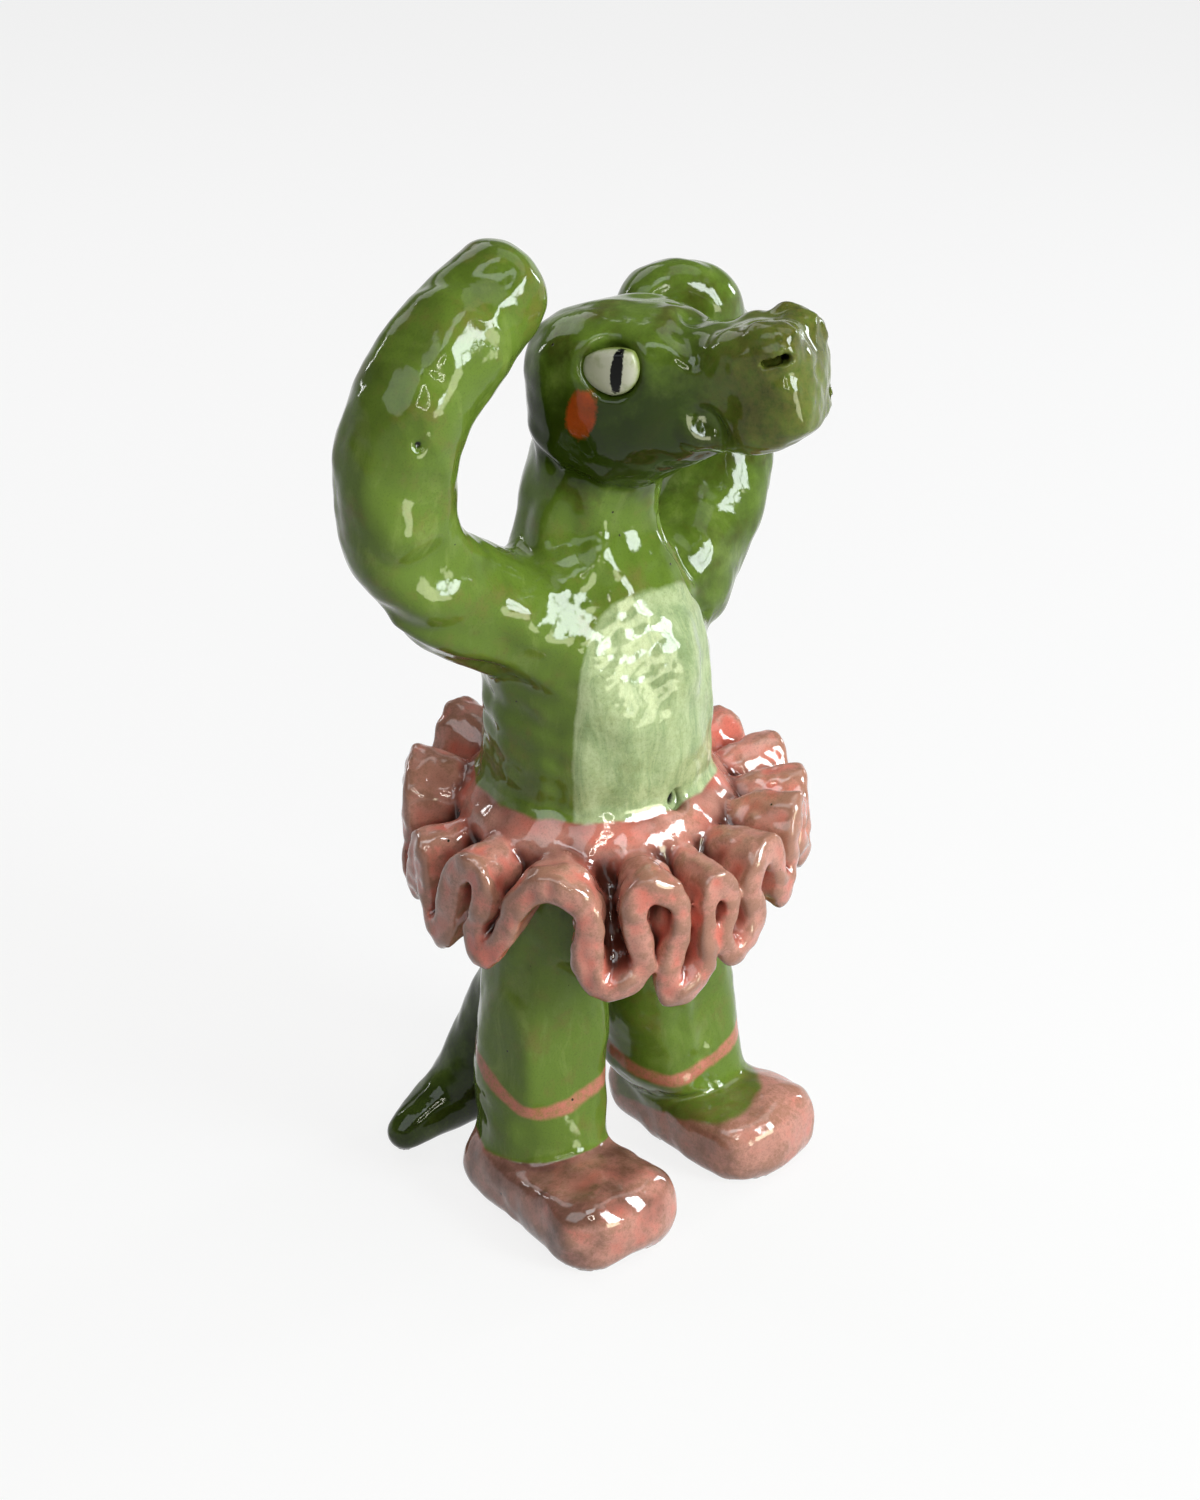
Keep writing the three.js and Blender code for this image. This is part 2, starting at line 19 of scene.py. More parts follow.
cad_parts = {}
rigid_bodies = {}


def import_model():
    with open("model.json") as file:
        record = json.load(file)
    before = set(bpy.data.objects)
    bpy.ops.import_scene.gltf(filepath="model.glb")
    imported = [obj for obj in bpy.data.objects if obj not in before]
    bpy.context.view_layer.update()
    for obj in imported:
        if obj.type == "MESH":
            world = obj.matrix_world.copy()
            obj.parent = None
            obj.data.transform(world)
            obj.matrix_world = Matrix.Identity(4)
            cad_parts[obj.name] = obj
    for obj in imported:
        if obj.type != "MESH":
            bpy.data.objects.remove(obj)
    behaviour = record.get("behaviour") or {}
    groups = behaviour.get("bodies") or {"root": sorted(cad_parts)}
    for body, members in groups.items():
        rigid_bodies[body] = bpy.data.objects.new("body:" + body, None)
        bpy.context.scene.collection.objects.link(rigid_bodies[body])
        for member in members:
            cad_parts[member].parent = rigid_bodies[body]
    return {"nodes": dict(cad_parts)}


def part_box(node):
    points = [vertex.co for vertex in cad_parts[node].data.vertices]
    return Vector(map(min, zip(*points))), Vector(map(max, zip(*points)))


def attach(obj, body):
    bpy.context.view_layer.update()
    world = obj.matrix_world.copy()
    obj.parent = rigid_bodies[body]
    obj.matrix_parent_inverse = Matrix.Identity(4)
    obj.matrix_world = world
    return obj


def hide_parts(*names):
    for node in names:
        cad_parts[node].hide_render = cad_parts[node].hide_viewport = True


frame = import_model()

log = logging.getLogger("crocodile")

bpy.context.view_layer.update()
MM = 0.001
BODY = "root"

Colour = tuple[int, int, int]
Place = tuple[float, float, float]
Route = tuple[Place, ...] | list[Place]


class Slot(Enum):
    """The record's glazes."""

    GREEN = "green_glaze"
    PINK = "pink_glaze"
    WHITE = "white_glaze"


class Sight(Enum):
    """What a lamp does: light the clay, be mirrored in the gloss, or both."""

    BOTH = (True, True)
    LIGHT = (True, False)
    MIRROR = (False, True)


SKIN_NODES: dict[str, Slot] = {
    "torso": Slot.GREEN,
    "hip_base": Slot.GREEN,
    "head": Slot.GREEN,
    "snout": Slot.GREEN,
    "right_arm": Slot.GREEN,
    "left_arm": Slot.GREEN,
    "right_leg": Slot.GREEN,
    "left_leg": Slot.GREEN,
    "tail": Slot.GREEN,
    "waistband": Slot.PINK,
    "ruffle": Slot.PINK,
    "right_shoe": Slot.PINK,
    "left_shoe": Slot.PINK,
}


def shade(red: int, green: int, blue: int) -> tuple[float, float, float, float]:
    """Turn a colour as seen on a screen into the shader's linear values.

    Args:
        red, green, blue: Levels from 0 to 255.

    Returns:
        Linear red, green, blue and an alpha of 1.
    """
    level = [channel / 255 for channel in (red, green, blue)]
    linear = [v / 12.92 if v <= 0.04045 else ((v + 0.055) / 1.055) ** 2.4 for v in level]
    return (*linear, 1.0)


def step(value: np.ndarray, low: float, high: float) -> np.ndarray:
    """Rise smoothly from 0 to 1.

    Args:
        value: Values to read.
        low, high: Where the rise starts and ends.

    Returns:
        A share for each value.
    """
    share = np.clip((value - low) / (high - low), 0, 1)
    return share * share * (3 - 2 * share)


def ripple(points: np.ndarray, wavelength: float, seed: int, waves: int = 24) -> np.ndarray:
    """A smooth uneven height over space, as fingers leave on clay.

    Args:
        points: Places to read.
        wavelength: Typical distance from one rise to the next.
        seed: Start of the random draw.
        waves: How many plane waves are summed.

    Returns:
        One value for each place, mostly between -1 and 1.
    """
    draw = np.random.default_rng(seed)
    heading = draw.normal(size=(waves, 3))
    heading /= np.linalg.norm(heading, axis=1, keepdims=True)
    turns = 2 * math.pi / (wavelength * draw.uniform(0.7, 1.6, waves))
    phase = draw.uniform(0, 2 * math.pi, waves)
    total = np.zeros(len(points))
    for axis, turn, start in zip(heading, turns, phase):
        total += np.sin(points @ axis * turn + start)
    return total / math.sqrt(waves)


def link(name: str, mesh: bpy.types.Mesh) -> bpy.types.Object:
    """Put a mesh into the scene as an object at the origin.

    Args:
        name: The object's name.
        mesh: Its mesh.

    Returns:
        The object.
    """
    made = bpy.data.objects.new(name, mesh)
    bpy.context.scene.collection.objects.link(made)
    return made


def clay_copy(node: str) -> bmesh.types.BMesh:
    """Copy a frame node's mesh and join its triangles.

    Args:
        node: The node's name.

    Returns:
        The copy, in metres.
    """
    copy = bmesh.new()
    copy.from_mesh(frame["nodes"][node].data)
    bmesh.ops.remove_doubles(copy, verts=copy.verts, dist=1e-6)
    copy.normal_update()
    return copy


@dataclass
class ClaySkin:
    """The whole outside of the figure while its pieces are luted together."""

    voxel: float = 0.46
    swell: float = 0.2
    own_swell: tuple[tuple[str, float], ...] = (("ruffle", 0.0), ("waistband", 0.45))
    reach: float = 12.0
    own_share: tuple[tuple[str, float], ...] = (("waistband", 1.2), ("hip_base", 1.0))
    lumps: dict[str, bmesh.types.BMesh] = field(default_factory=dict, repr=False)
    vent_plug: tuple[float, float, float] = (2.0, -12.0, 79.3)
    points: np.ndarray = field(init=False, repr=False)
    quads: np.ndarray = field(init=False, repr=False)
    edges: np.ndarray = field(init=False, repr=False)
    degree: np.ndarray = field(init=False, repr=False)
    near: dict[str, np.ndarray] = field(init=False, default_factory=dict, repr=False)
    glaze: dict[str, np.ndarray] = field(init=False, default_factory=dict, repr=False)

    def lump(self, node: str) -> bmesh.types.BMesh:
        """A copy of a node's clay: its fuller form where one was given, or else the frame's."""
        return self.lumps[node].copy() if node in self.lumps else clay_copy(node)

    def lute(self) -> None:
        """Swell the nodes till they meet, melt them into one skin and keep its outside."""
        clay = bmesh.new()
        for node in SKIN_NODES:
            piece = self.lump(node)
            swell = dict(self.own_swell).get(node, self.swell)
            for vert in piece.verts:
                vert.co += vert.normal * (swell * MM * min(vert.calc_shell_factor(), 1.6))
            scratch = bpy.data.meshes.new(node)
            piece.to_mesh(scratch)
            piece.free()
            clay.from_mesh(scratch)
            bpy.data.meshes.remove(scratch)
        plug = Matrix.Translation(Vector(self.vent_plug) * MM) @ Matrix.Rotation(math.pi / 2, 4, "X")
        bmesh.ops.create_cone(
            clay, cap_ends=True, segments=16, radius1=2.5 * MM, radius2=2.5 * MM, depth=4 * MM, matrix=plug
        )
        mesh = bpy.data.meshes.new("luted_clay")
        clay.to_mesh(mesh)
        clay.free()
        whole = link("luted_clay", mesh)
        melt = whole.modifiers.new("melt", "REMESH")
        melt.mode = "VOXEL"
        melt.voxel_size = self.voxel * MM
        melted = bpy.data.meshes.new_from_object(whole.evaluated_get(bpy.context.evaluated_depsgraph_get()))
        bpy.data.objects.remove(whole)
        self._keep_outside(melted)

    def _keep_outside(self, melted: bpy.types.Mesh) -> None:
        """Read the outer shell of a melted mesh and leave its hollow out.

        Args:
            melted: The mesh, which is removed.
        """
        shell = bmesh.new()
        shell.from_mesh(melted)
        bpy.data.meshes.remove(melted)
        start = max(shell.verts, key=lambda vert: vert.co.z)
        for vert in shell.verts:
            vert.tag = False
        start.tag = True
        front = [start]
        while front:
            vert = front.pop()
            for edge in vert.link_edges:
                other = edge.other_vert(vert)
                if not other.tag:
                    other.tag = True
                    front.append(other)
        inside = [vert for vert in shell.verts if not vert.tag]
        bmesh.ops.delete(shell, geom=inside, context="VERTS")
        mesh = bpy.data.meshes.new("shell")
        shell.to_mesh(mesh)
        shell.free()
        self.points = np.empty(len(mesh.vertices) * 3)
        mesh.vertices.foreach_get("co", self.points)
        self.points = self.points.reshape(-1, 3) / MM
        self.quads = np.empty(len(mesh.loops), int)
        mesh.loops.foreach_get("vertex_index", self.quads)
        self.quads = self.quads.reshape(-1, 4)
        self.edges = np.empty(len(mesh.edges) * 2, int)
        mesh.edges.foreach_get("vertices", self.edges)
        self.edges = self.edges.reshape(-1, 2)
        self.degree = np.bincount(self.edges.ravel(), minlength=len(self.points)).astype(float)
        bpy.data.meshes.remove(mesh)
        log.info("skin of %d points, %d inside points left out", len(self.points), len(inside))

    def around(self, values: np.ndarray) -> np.ndarray:
        """Average each point's neighbours.

        Args:
            values: One or three columns for each point.

        Returns:
            The averages, in the same columns.
        """
        columns = values.reshape(len(values), -1)
        count = len(values)
        first, second = self.edges[:, 0], self.edges[:, 1]
        total = np.empty_like(columns)
        for column in range(columns.shape[1]):
            data = columns[:, column]
            total[:, column] = np.bincount(first, data[second], count)
            total[:, column] += np.bincount(second, data[first], count)
        return (total / self.degree[:, None]).reshape(values.shape)

    def soften(self, values: np.ndarray, rounds: int, share: float | np.ndarray = 0.5) -> np.ndarray:
        """Even values out over the skin.

        Args:
            values: One or three columns for each point.
            rounds: How often each point moves towards its neighbours.
            share: How far it moves each time, one number or one for each point.

        Returns:
            The evened values.
        """
        weight = np.broadcast_to(np.asarray(share, float), (len(values),))
        if values.ndim == 2:
            weight = weight[:, None]
        for _ in range(rounds):
            values = values + weight * (self.around(values) - values)
        return values

    def normals(self) -> np.ndarray:
        """Find the skin's outward direction.

        Returns:
            A unit row for each point.
        """
        corner = self.points[self.quads]
        facing = np.cross(corner[:, 2] - corner[:, 0], corner[:, 3] - corner[:, 1])
        total = np.zeros_like(self.points)
        for column in range(3):
            weight = np.repeat(facing[:, column], 4)
            total[:, column] = np.bincount(self.quads.ravel(), weight, len(self.points))
        return total / np.maximum(np.linalg.norm(total, axis=1, keepdims=True), 1e-12)

    def measure(self) -> None:
        """Distance of each point from every node, no more than the reach."""
        for node in SKIN_NODES:
            piece = self.lump(node)
            tree = BVHTree.FromBMesh(piece)
            piece.free()
            low, high = (np.array(corner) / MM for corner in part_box(node))
            close = np.all((self.points > low - self.reach) & (self.points < high + self.reach), axis=1)
            found = np.full(len(self.points), self.reach)
            for index in np.flatnonzero(close):
                hit = tree.find_nearest(self.points[index] * MM, self.reach * MM)
                if hit[3] is not None:
                    found[index] = hit[3] / MM
            self.near[node] = self.soften(found, 4)

    def on(self, *nodes: str) -> np.ndarray:
        """Compare the distance to some nodes with that to all others.

        Args:
            nodes: Names of the nodes.

        Returns:
            How much nearer each point is to these nodes, below 0 where it is farther.
        """
        mine = np.min([self.near[node] for node in nodes], axis=0)
        rest = np.min([self.near[node] for node in SKIN_NODES if node not in nodes], axis=0)
        return rest - mine

    def push(self, amount: np.ndarray) -> None:
        """Move each point outwards by its own amount."""
        self.points = self.points + self.normals() * amount[:, None]

    def thumb(
        self,
        place: Place,
        radius: float,
        height: float,
        where: np.ndarray | None = None,
    ) -> None:
        """Press a round hollow, or raise a bump with a positive height.

        Args:
            place: Middle of the mark.
            radius: Distance at which the mark fades.
            height: How far the middle moves outwards.
            where: Share of the mark that each point takes.
        """
        distance = np.linalg.norm(self.points - np.array(place), axis=1)
        mark = height * np.exp(-((distance / radius) ** 2))
        self.push(mark if where is None else mark * where)

    def score(
        self,
        path: Route,
        width: float,
        depth: float,
        where: np.ndarray | None = None,
    ) -> None:
        """Draw a groove along a path, with a low lip beside it, or a ridge with a negative depth.

        Args:
            path: Points that the tool passes through.
            width: Half width of the groove.
            depth: How deep the tool presses.
            where: Share of the mark that each point takes.
        """
        distance = self.from_path(path)
        groove = -depth * np.exp(-((distance / width) ** 2))
        lip = 0.25 * depth * np.exp(-(((distance - 2.2 * width) / width) ** 2))
        mark = groove + lip
        self.push(mark if where is None else mark * where)

    def pat(
        self,
        place: Place,
        facing: Place,
        radius: float,
        flat: float = 0.0,
    ) -> None:
        """Turn a patch of clay to face a way, and flatten it.

        Args:
            place: Middle of the patch, on the clay or near it.
            facing: The way that the patch faces afterwards.
            radius: Distance at which the patch ends.
            flat: Share of its roundness that the patch loses.
        """
        middle = self.points[np.argmin(np.linalg.norm(self.points - np.array(place), axis=1))]
        offset = self.points - middle
        share = 1 - step(np.linalg.norm(offset, axis=1), 0.2 * radius, radius)
        before = (self.normals() * share[:, None]).sum(axis=0)
        before /= np.linalg.norm(before)
        after = np.array(facing) / np.linalg.norm(facing)
        axis = np.cross(before, after)
        axis /= max(np.linalg.norm(axis), 1e-9)
        turn = (math.acos(float(np.clip(before @ after, -1, 1))) * share)[:, None]
        turned = offset * np.cos(turn) + np.cross(axis, offset) * np.sin(turn)
        turned = turned + axis * (offset @ axis)[:, None] * (1 - np.cos(turn))
        height = turned @ after
        level = (height * share).sum() / share.sum()
        self.points = middle + turned - (flat * share * (height - level))[:, None] * after

    def from_path(self, path: Route) -> np.ndarray:
        """Measure the distance of each point from a route.

        Args:
            path: Points of the route, joined by straight stretches.

        Returns:
            One distance for each point.
        """
        best = np.full(len(self.points), 1e3)
        for start, end in zip(path[:-1], path[1:]):
            origin, run = np.array(start), np.array(end) - np.array(start)
            share = np.clip((self.points - origin) @ run / (run @ run), 0, 1)
            gap = np.linalg.norm(self.points - origin - share[:, None] * run, axis=1)
            best = np.minimum(best, gap)
        return best

    def settle(self) -> None:
        """Keep the soles and the tail flat on the ground."""
        height = self.points[:, 2]
        self.points[:, 2] = np.where(height < 0.25, 0, height)

    def ridges(self) -> np.ndarray:
        """Measure how sharply the skin bulges.

        Returns:
            About 1 on a rim and -1 in a fold.
        """
        normals = self.normals()
        bulge = np.einsum("ij,ij->i", self.points - self.soften(self.points, 10), normals)
        return np.clip(self.soften(bulge, 6) / 0.12, -1.5, 1.5)

    def hollows(self) -> np.ndarray:
        """Measure how deep in a fold a point lies.

        Returns:
            Depth of each point below the evened skin.
        """
        bulge = np.einsum("ij,ij->i", self.soften(self.points, 160) - self.points, self.normals())
        return self.soften(bulge, 4)

    def part(self) -> dict[str, bpy.types.Object]:
        """Part the skin again along the seams into one open shell for each node.

        Returns:
            The shells by node.
        """
        names = list(SKIN_NODES)
        gaps = np.stack([self.soften(self.near[node], 6) for node in names], axis=1)
        for node, share in self.own_share:
            gaps[:, names.index(node)] -= share
        owner = np.argmin(gaps[self.quads].mean(axis=1), axis=1)
        owner = self._drop_crumbs(owner)
        mesh = bpy.data.meshes.new("skin")
        mesh.from_pydata((self.points * MM).tolist(), [], self.quads.tolist())
        mesh.polygons.foreach_set("use_smooth", np.ones(len(self.quads), bool))
        for node in names:
            mesh.materials.append(None)
        mesh.polygons.foreach_set("material_index", owner.astype(np.int32))
        for name, values in self.glaze.items():
            layer = mesh.attributes.new(name, "FLOAT", "POINT")
            layer.data.foreach_set("value", values.astype(np.float32))
        layer = mesh.attributes.new("outward", "FLOAT_VECTOR", "POINT")
        layer.data.foreach_set("vector", self.normals().astype(np.float32).ravel())
        layer = mesh.attributes.new("owner", "INT", "FACE")
        layer.data.foreach_set("value", owner.astype(np.int32))
        whole = link("skin", mesh)
        before = set(bpy.data.objects)
        bpy.ops.object.select_all(action="DESELECT")
        whole.select_set(True)
        bpy.context.view_layer.objects.active = whole
        bpy.ops.object.mode_set(mode="EDIT")
        bpy.ops.mesh.separate(type="MATERIAL")
        bpy.ops.object.mode_set(mode="OBJECT")
        shells = [whole] + [made for made in bpy.data.objects if made not in before]
        return {names[shell.data.attributes["owner"].data[0].value]: shell for shell in shells}

    def _drop_crumbs(self, owner: np.ndarray) -> np.ndarray:
        """Give faces cut off from their piece to the piece round them.

        Args:
            owner: Number of the piece that each face belongs to.

        Returns:
            The mended numbers.
        """
        sides = np.stack([self.quads, np.roll(self.quads, -1, axis=1)], axis=2)
        sides = np.sort(sides.reshape(-1, 2), axis=1)
        order = np.lexsort((sides[:, 1], sides[:, 0]))
        same = np.all(sides[order][1:] == sides[order][:-1], axis=1)
        face = order // 4
        pairs = np.stack([face[:-1][same], face[1:][same]], axis=1)
        beside: list[list[int]] = [[] for _ in range(len(owner))]
        for first, second in pairs.tolist():
            beside[first].append(second)
            beside[second].append(first)
        owner = owner.copy()
        seen = np.zeros(len(owner), bool)
        groups: dict[int, list[list[int]]] = {}
        for face_index in range(len(owner)):
            if seen[face_index]:
                continue
            kind = owner[face_index]
            seen[face_index] = True
            group, front = [], [face_index]
            while front:
                here = front.pop()
                group.append(here)
                for other in beside[here]:
                    if not seen[other] and owner[other] == kind:
                        seen[other] = True
                        front.append(other)
            groups.setdefault(int(kind), []).append(group)
        for kind, found in groups.items():
            largest = max(len(group) for group in found)
            for group in found:
                if len(group) < 0.3 * largest:
                    rim = [owner[other] for here in group for other in beside[here] if owner[other] != kind]
                    owner[group] = np.bincount(rim).argmax()
        return owner


@dataclass
class Closer:
    """Closes a parted shell with hidden walls where it was luted to its neighbours."""

    waist_low: float = 60.0
    waist_high: float = 84.0
    waist_span: float = 30.0
    tuck: float = 2.5

    def close(self, shell: bpy.types.Object) -> int:
        """Wall up a shell's open rims and keep the skin's own shading.

        Args:
            shell: An open shell from the skin.

        Returns:
            How many open edges are left.
        """
        mesh = shell.data
        clay = bmesh.new()
        clay.from_mesh(mesh)
        hidden = clay.faces.layers.int.new("hidden")
        old = set(clay.faces)
        rims = self._rims(clay)
        round_waist = [rim for rim in rims if self._is_waist(rim)]
        round_waist.sort(key=self._radius)
        for first, second in zip(round_waist[0::2], round_waist[1::2]):
            bmesh.ops.bridge_loops(clay, edges=self._tuck(clay, first) + self._tuck(clay, second))
        paired = len(round_waist) // 2 * 2
        bridged = [edge for rim in round_waist[:paired] for edge in rim]
        rest = [edge for rim in rims for edge in rim if edge not in set(bridged)]
        caps = bmesh.ops.edgeloop_fill(clay, edges=rest)["faces"] if rest else []
        bmesh.ops.poke(clay, faces=caps)
        for face in clay.faces:
            if face not in old:
                face[hidden] = 1
        bmesh.ops.recalc_face_normals(clay, faces=clay.faces)
        left = sum(edge.is_boundary for edge in clay.edges)
        clay.to_mesh(mesh)
        clay.free()
        self._shade(mesh)
        return left

    def _tuck(self, clay: bmesh.types.BMesh, rim: list[bmesh.types.BMEdge]) -> list[bmesh.types.BMEdge]:
        """Draw a rim round the waist inwards, under the skin.

        Args:
            clay: The shell.
            rim: Its open edges round the waist.

        Returns:
            The open edges of the tucked rim.
        """
        made = bmesh.ops.extrude_edge_only(clay, edges=rim)["geom"]
        verts = [part for part in made if isinstance(part, bmesh.types.BMVert)]
        middle = sum((vert.co for vert in verts), Vector()) / len(verts)
        for vert in verts:
            inward = Vector((middle.x - vert.co.x, middle.y - vert.co.y, 0)).normalized()
            vert.co += inward * (self.tuck * MM)
        return [part for part in made if isinstance(part, bmesh.types.BMEdge) and part.is_boundary]

    @staticmethod
    def _rims(clay: bmesh.types.BMesh) -> list[list[bmesh.types.BMEdge]]:
        """Gather a shell's open edges into rims.

        Args:
            clay: The shell.

        Returns:
            The edges of each rim.
        """
        free = {edge for edge in clay.edges if edge.is_boundary}
        rims = []
        while free:
            edge = free.pop()
            rim, front = [edge], [edge]
            while front:
                for vert in front.pop().verts:
                    for other in vert.link_edges:
                        if other in free:
                            free.remove(other)
                            rim.append(other)
                            front.append(other)
            rims.append(rim)
        return rims

    def _is_waist(self, rim: list[bmesh.types.BMEdge]) -> bool:
        """Tell a rim that runs right round the waist.

        Args:
            rim: Open edges.

        Returns:
            Whether it is wide enough and at the waist's height.
        """
        place = np.array([edge.verts[0].co for edge in rim]) / MM
        wide = np.all(np.ptp(place[:, :2], axis=0) > self.waist_span)
        return bool(wide and self.waist_low < place[:, 2].mean() < self.waist_high)

    @staticmethod
    def _radius(rim: list[bmesh.types.BMEdge]) -> float:
        """Measure a rim's mean distance from its middle.

        Args:
            rim: Open edges.

        Returns:
            The distance in metres.
        """
        place = np.array([edge.verts[0].co for edge in rim])[:, :2]
        return float(np.linalg.norm(place - place.mean(axis=0), axis=1).mean())

    @staticmethod
    def _shade(mesh: bpy.types.Mesh) -> None:
        """Shade the skin by the luted whole, so that no seam shows, and the hidden walls flat.

        Args:
            mesh: The closed piece, whose helping attributes are removed.
        """
        count = len(mesh.loops)
        vertex = np.empty(count, int)
        mesh.loops.foreach_get("vertex_index", vertex)
        outward = np.empty(len(mesh.vertices) * 3, np.float32)
        mesh.attributes["outward"].data.foreach_get("vector", outward)
        normals = outward.reshape(-1, 3)[vertex]
        hidden = np.empty(len(mesh.polygons), int)
        mesh.attributes["hidden"].data.foreach_get("value", hidden)
        facing = np.empty(len(mesh.polygons) * 3, np.float32)
        mesh.polygons.foreach_get("normal", facing)
        corners = np.empty(len(mesh.polygons), int)
        mesh.polygons.foreach_get("loop_total", corners)
        walls = np.repeat(hidden, corners) == 1
        normals[walls] = np.repeat(facing.reshape(-1, 3), corners, axis=0)[walls]
        for name in ("outward", "hidden", "owner"):
            mesh.attributes.remove(mesh.attributes[name])
        mesh.normals_split_custom_set(normals.tolist())


class Recipe:
    """Lays out the nodes of one glaze."""

    def __init__(self, name: str) -> None:
        """Start an empty material.

        Args:
            name: The material's name.
        """
        self.material = bpy.data.materials.new(name)
        self.material.use_nodes = True
        self.tree = self.material.node_tree
        self.tree.nodes.clear()

    def node(self, kind: str, **settings: object) -> bpy.types.Node:
        """Add a node.

        Args:
            kind: The node's type.
            settings: Its properties by name.

        Returns:
            The node.
        """
        made = self.tree.nodes.new(kind)
        for key, value in settings.items():
            setattr(made, key, value)
        return made

    def feed(self, socket: bpy.types.NodeSocket, value: object) -> None:
        """Link a socket to another one, or set its value.

        Args:
            socket: The socket to feed.
            value: A socket, or a plain value.
        """
        if isinstance(value, bpy.types.NodeSocket):
            self.tree.links.new(value, socket)
        else:
            socket.default_value = value

    def place(self, scale: Place = (1, 1, 1), shift: float = 0.0) -> bpy.types.NodeSocket:
        """Read object coordinates.

        Args:
            scale: Stretch along each axis.
            shift: How far the pattern is moved, so that two don't match.

        Returns:
            The coordinates' socket.
        """
        source = self.node("ShaderNodeTexCoord")
        mapping = self.node("ShaderNodeMapping")
        self.feed(mapping.inputs["Vector"], source.outputs["Object"])
        mapping.inputs["Scale"].default_value = scale
        mapping.inputs["Location"].default_value = (shift, shift * 0.7, shift * 1.3)
        return mapping.outputs["Vector"]

    def field(self, name: str) -> bpy.types.NodeSocket:
        """A glaze field stored on the skin."""
        return self.node("ShaderNodeAttribute", attribute_name=name).outputs["Fac"]

    def noise(
        self,
        place: bpy.types.NodeSocket,
        size: float,
        detail: float = 3,
        rough: float = 0.5,
        twist: float = 0,
    ) -> bpy.types.NodeSocket:
        """Cloudy noise.

        Args:
            place: Coordinates to read it at.
            size: Size of its clouds in millimetres.
            detail: Number of finer layers.
            rough: Strength of the finer layers.
            twist: How far the clouds are drawn out.

        Returns:
            A value from 0 to 1.
        """
        made = self.node("ShaderNodeTexNoise")
        self.feed(made.inputs["Vector"], place)
        made.inputs["Scale"].default_value = 1 / (size * MM)
        made.inputs["Detail"].default_value = detail
        made.inputs["Roughness"].default_value = rough
        made.inputs["Distortion"].default_value = twist
        return made.outputs["Fac"]

    def sum(
        self, first: object, second: object, kind: str = "ADD", clamp: bool = False
    ) -> bpy.types.NodeSocket:
        """Put two values together.

        Args:
            first, second: Sockets or plain values.
            kind: The operation.
            clamp: Whether to stay from 0 to 1.

        Returns:
            The value's socket.
        """
        made = self.node("ShaderNodeMath", operation=kind, use_clamp=clamp)
        self.feed(made.inputs[0], first)
        self.feed(made.inputs[1], second)
        return made.outputs[0]

    def rise(self, value: object, low: float, high: float, top: float = 1.0) -> bpy.types.NodeSocket:
        """Rise smoothly from 0.

        Args:
            value: A socket or a plain value.
            low, high: Where the rise starts and ends.
            top: Its height.

        Returns:
            The value's socket.
        """
        made = self.node("ShaderNodeMapRange", interpolation_type="SMOOTHSTEP")
        self.feed(made.inputs["Value"], value)
        made.inputs["From Min"].default_value = low
        made.inputs["From Max"].default_value = high
        made.inputs["To Min"].default_value = 0.0
        made.inputs["To Max"].default_value = top
        return made.outputs["Result"]

    def blend(self, share: object, first: object, second: object, kind: str = "MIX") -> bpy.types.NodeSocket:
        """Mix two colours.

        Args:
            share: How much of the second is seen.
            first, second: The colours.
            kind: The way they are mixed.

        Returns:
            The colour's socket.
        """
        made = self.node("ShaderNodeMix", data_type="RGBA", blend_type=kind)
        self.feed(made.inputs[0], share)
        self.feed(made.inputs[6], first)
        self.feed(made.inputs[7], second)
        return made.outputs[2]

    def brushed(
        self, name: str, sway: bpy.types.NodeSocket, swing: float, soft: float
    ) -> bpy.types.NodeSocket:
        """A mask from a glaze field, with a hand painted edge.

        Args:
            name: The field, in millimetres and above 0 inside.
            sway: Noise that moves the edge.
            swing: How far the edge sways, in millimetres.
            soft: How far it fades to either side.

        Returns:
            A value from 0 to 1.
        """
        offset = self.sum(self.sum(sway, 0.5, "SUBTRACT"), swing * 2, "MULTIPLY")
        return self.rise(self.sum(self.field(name), offset), -soft, soft)


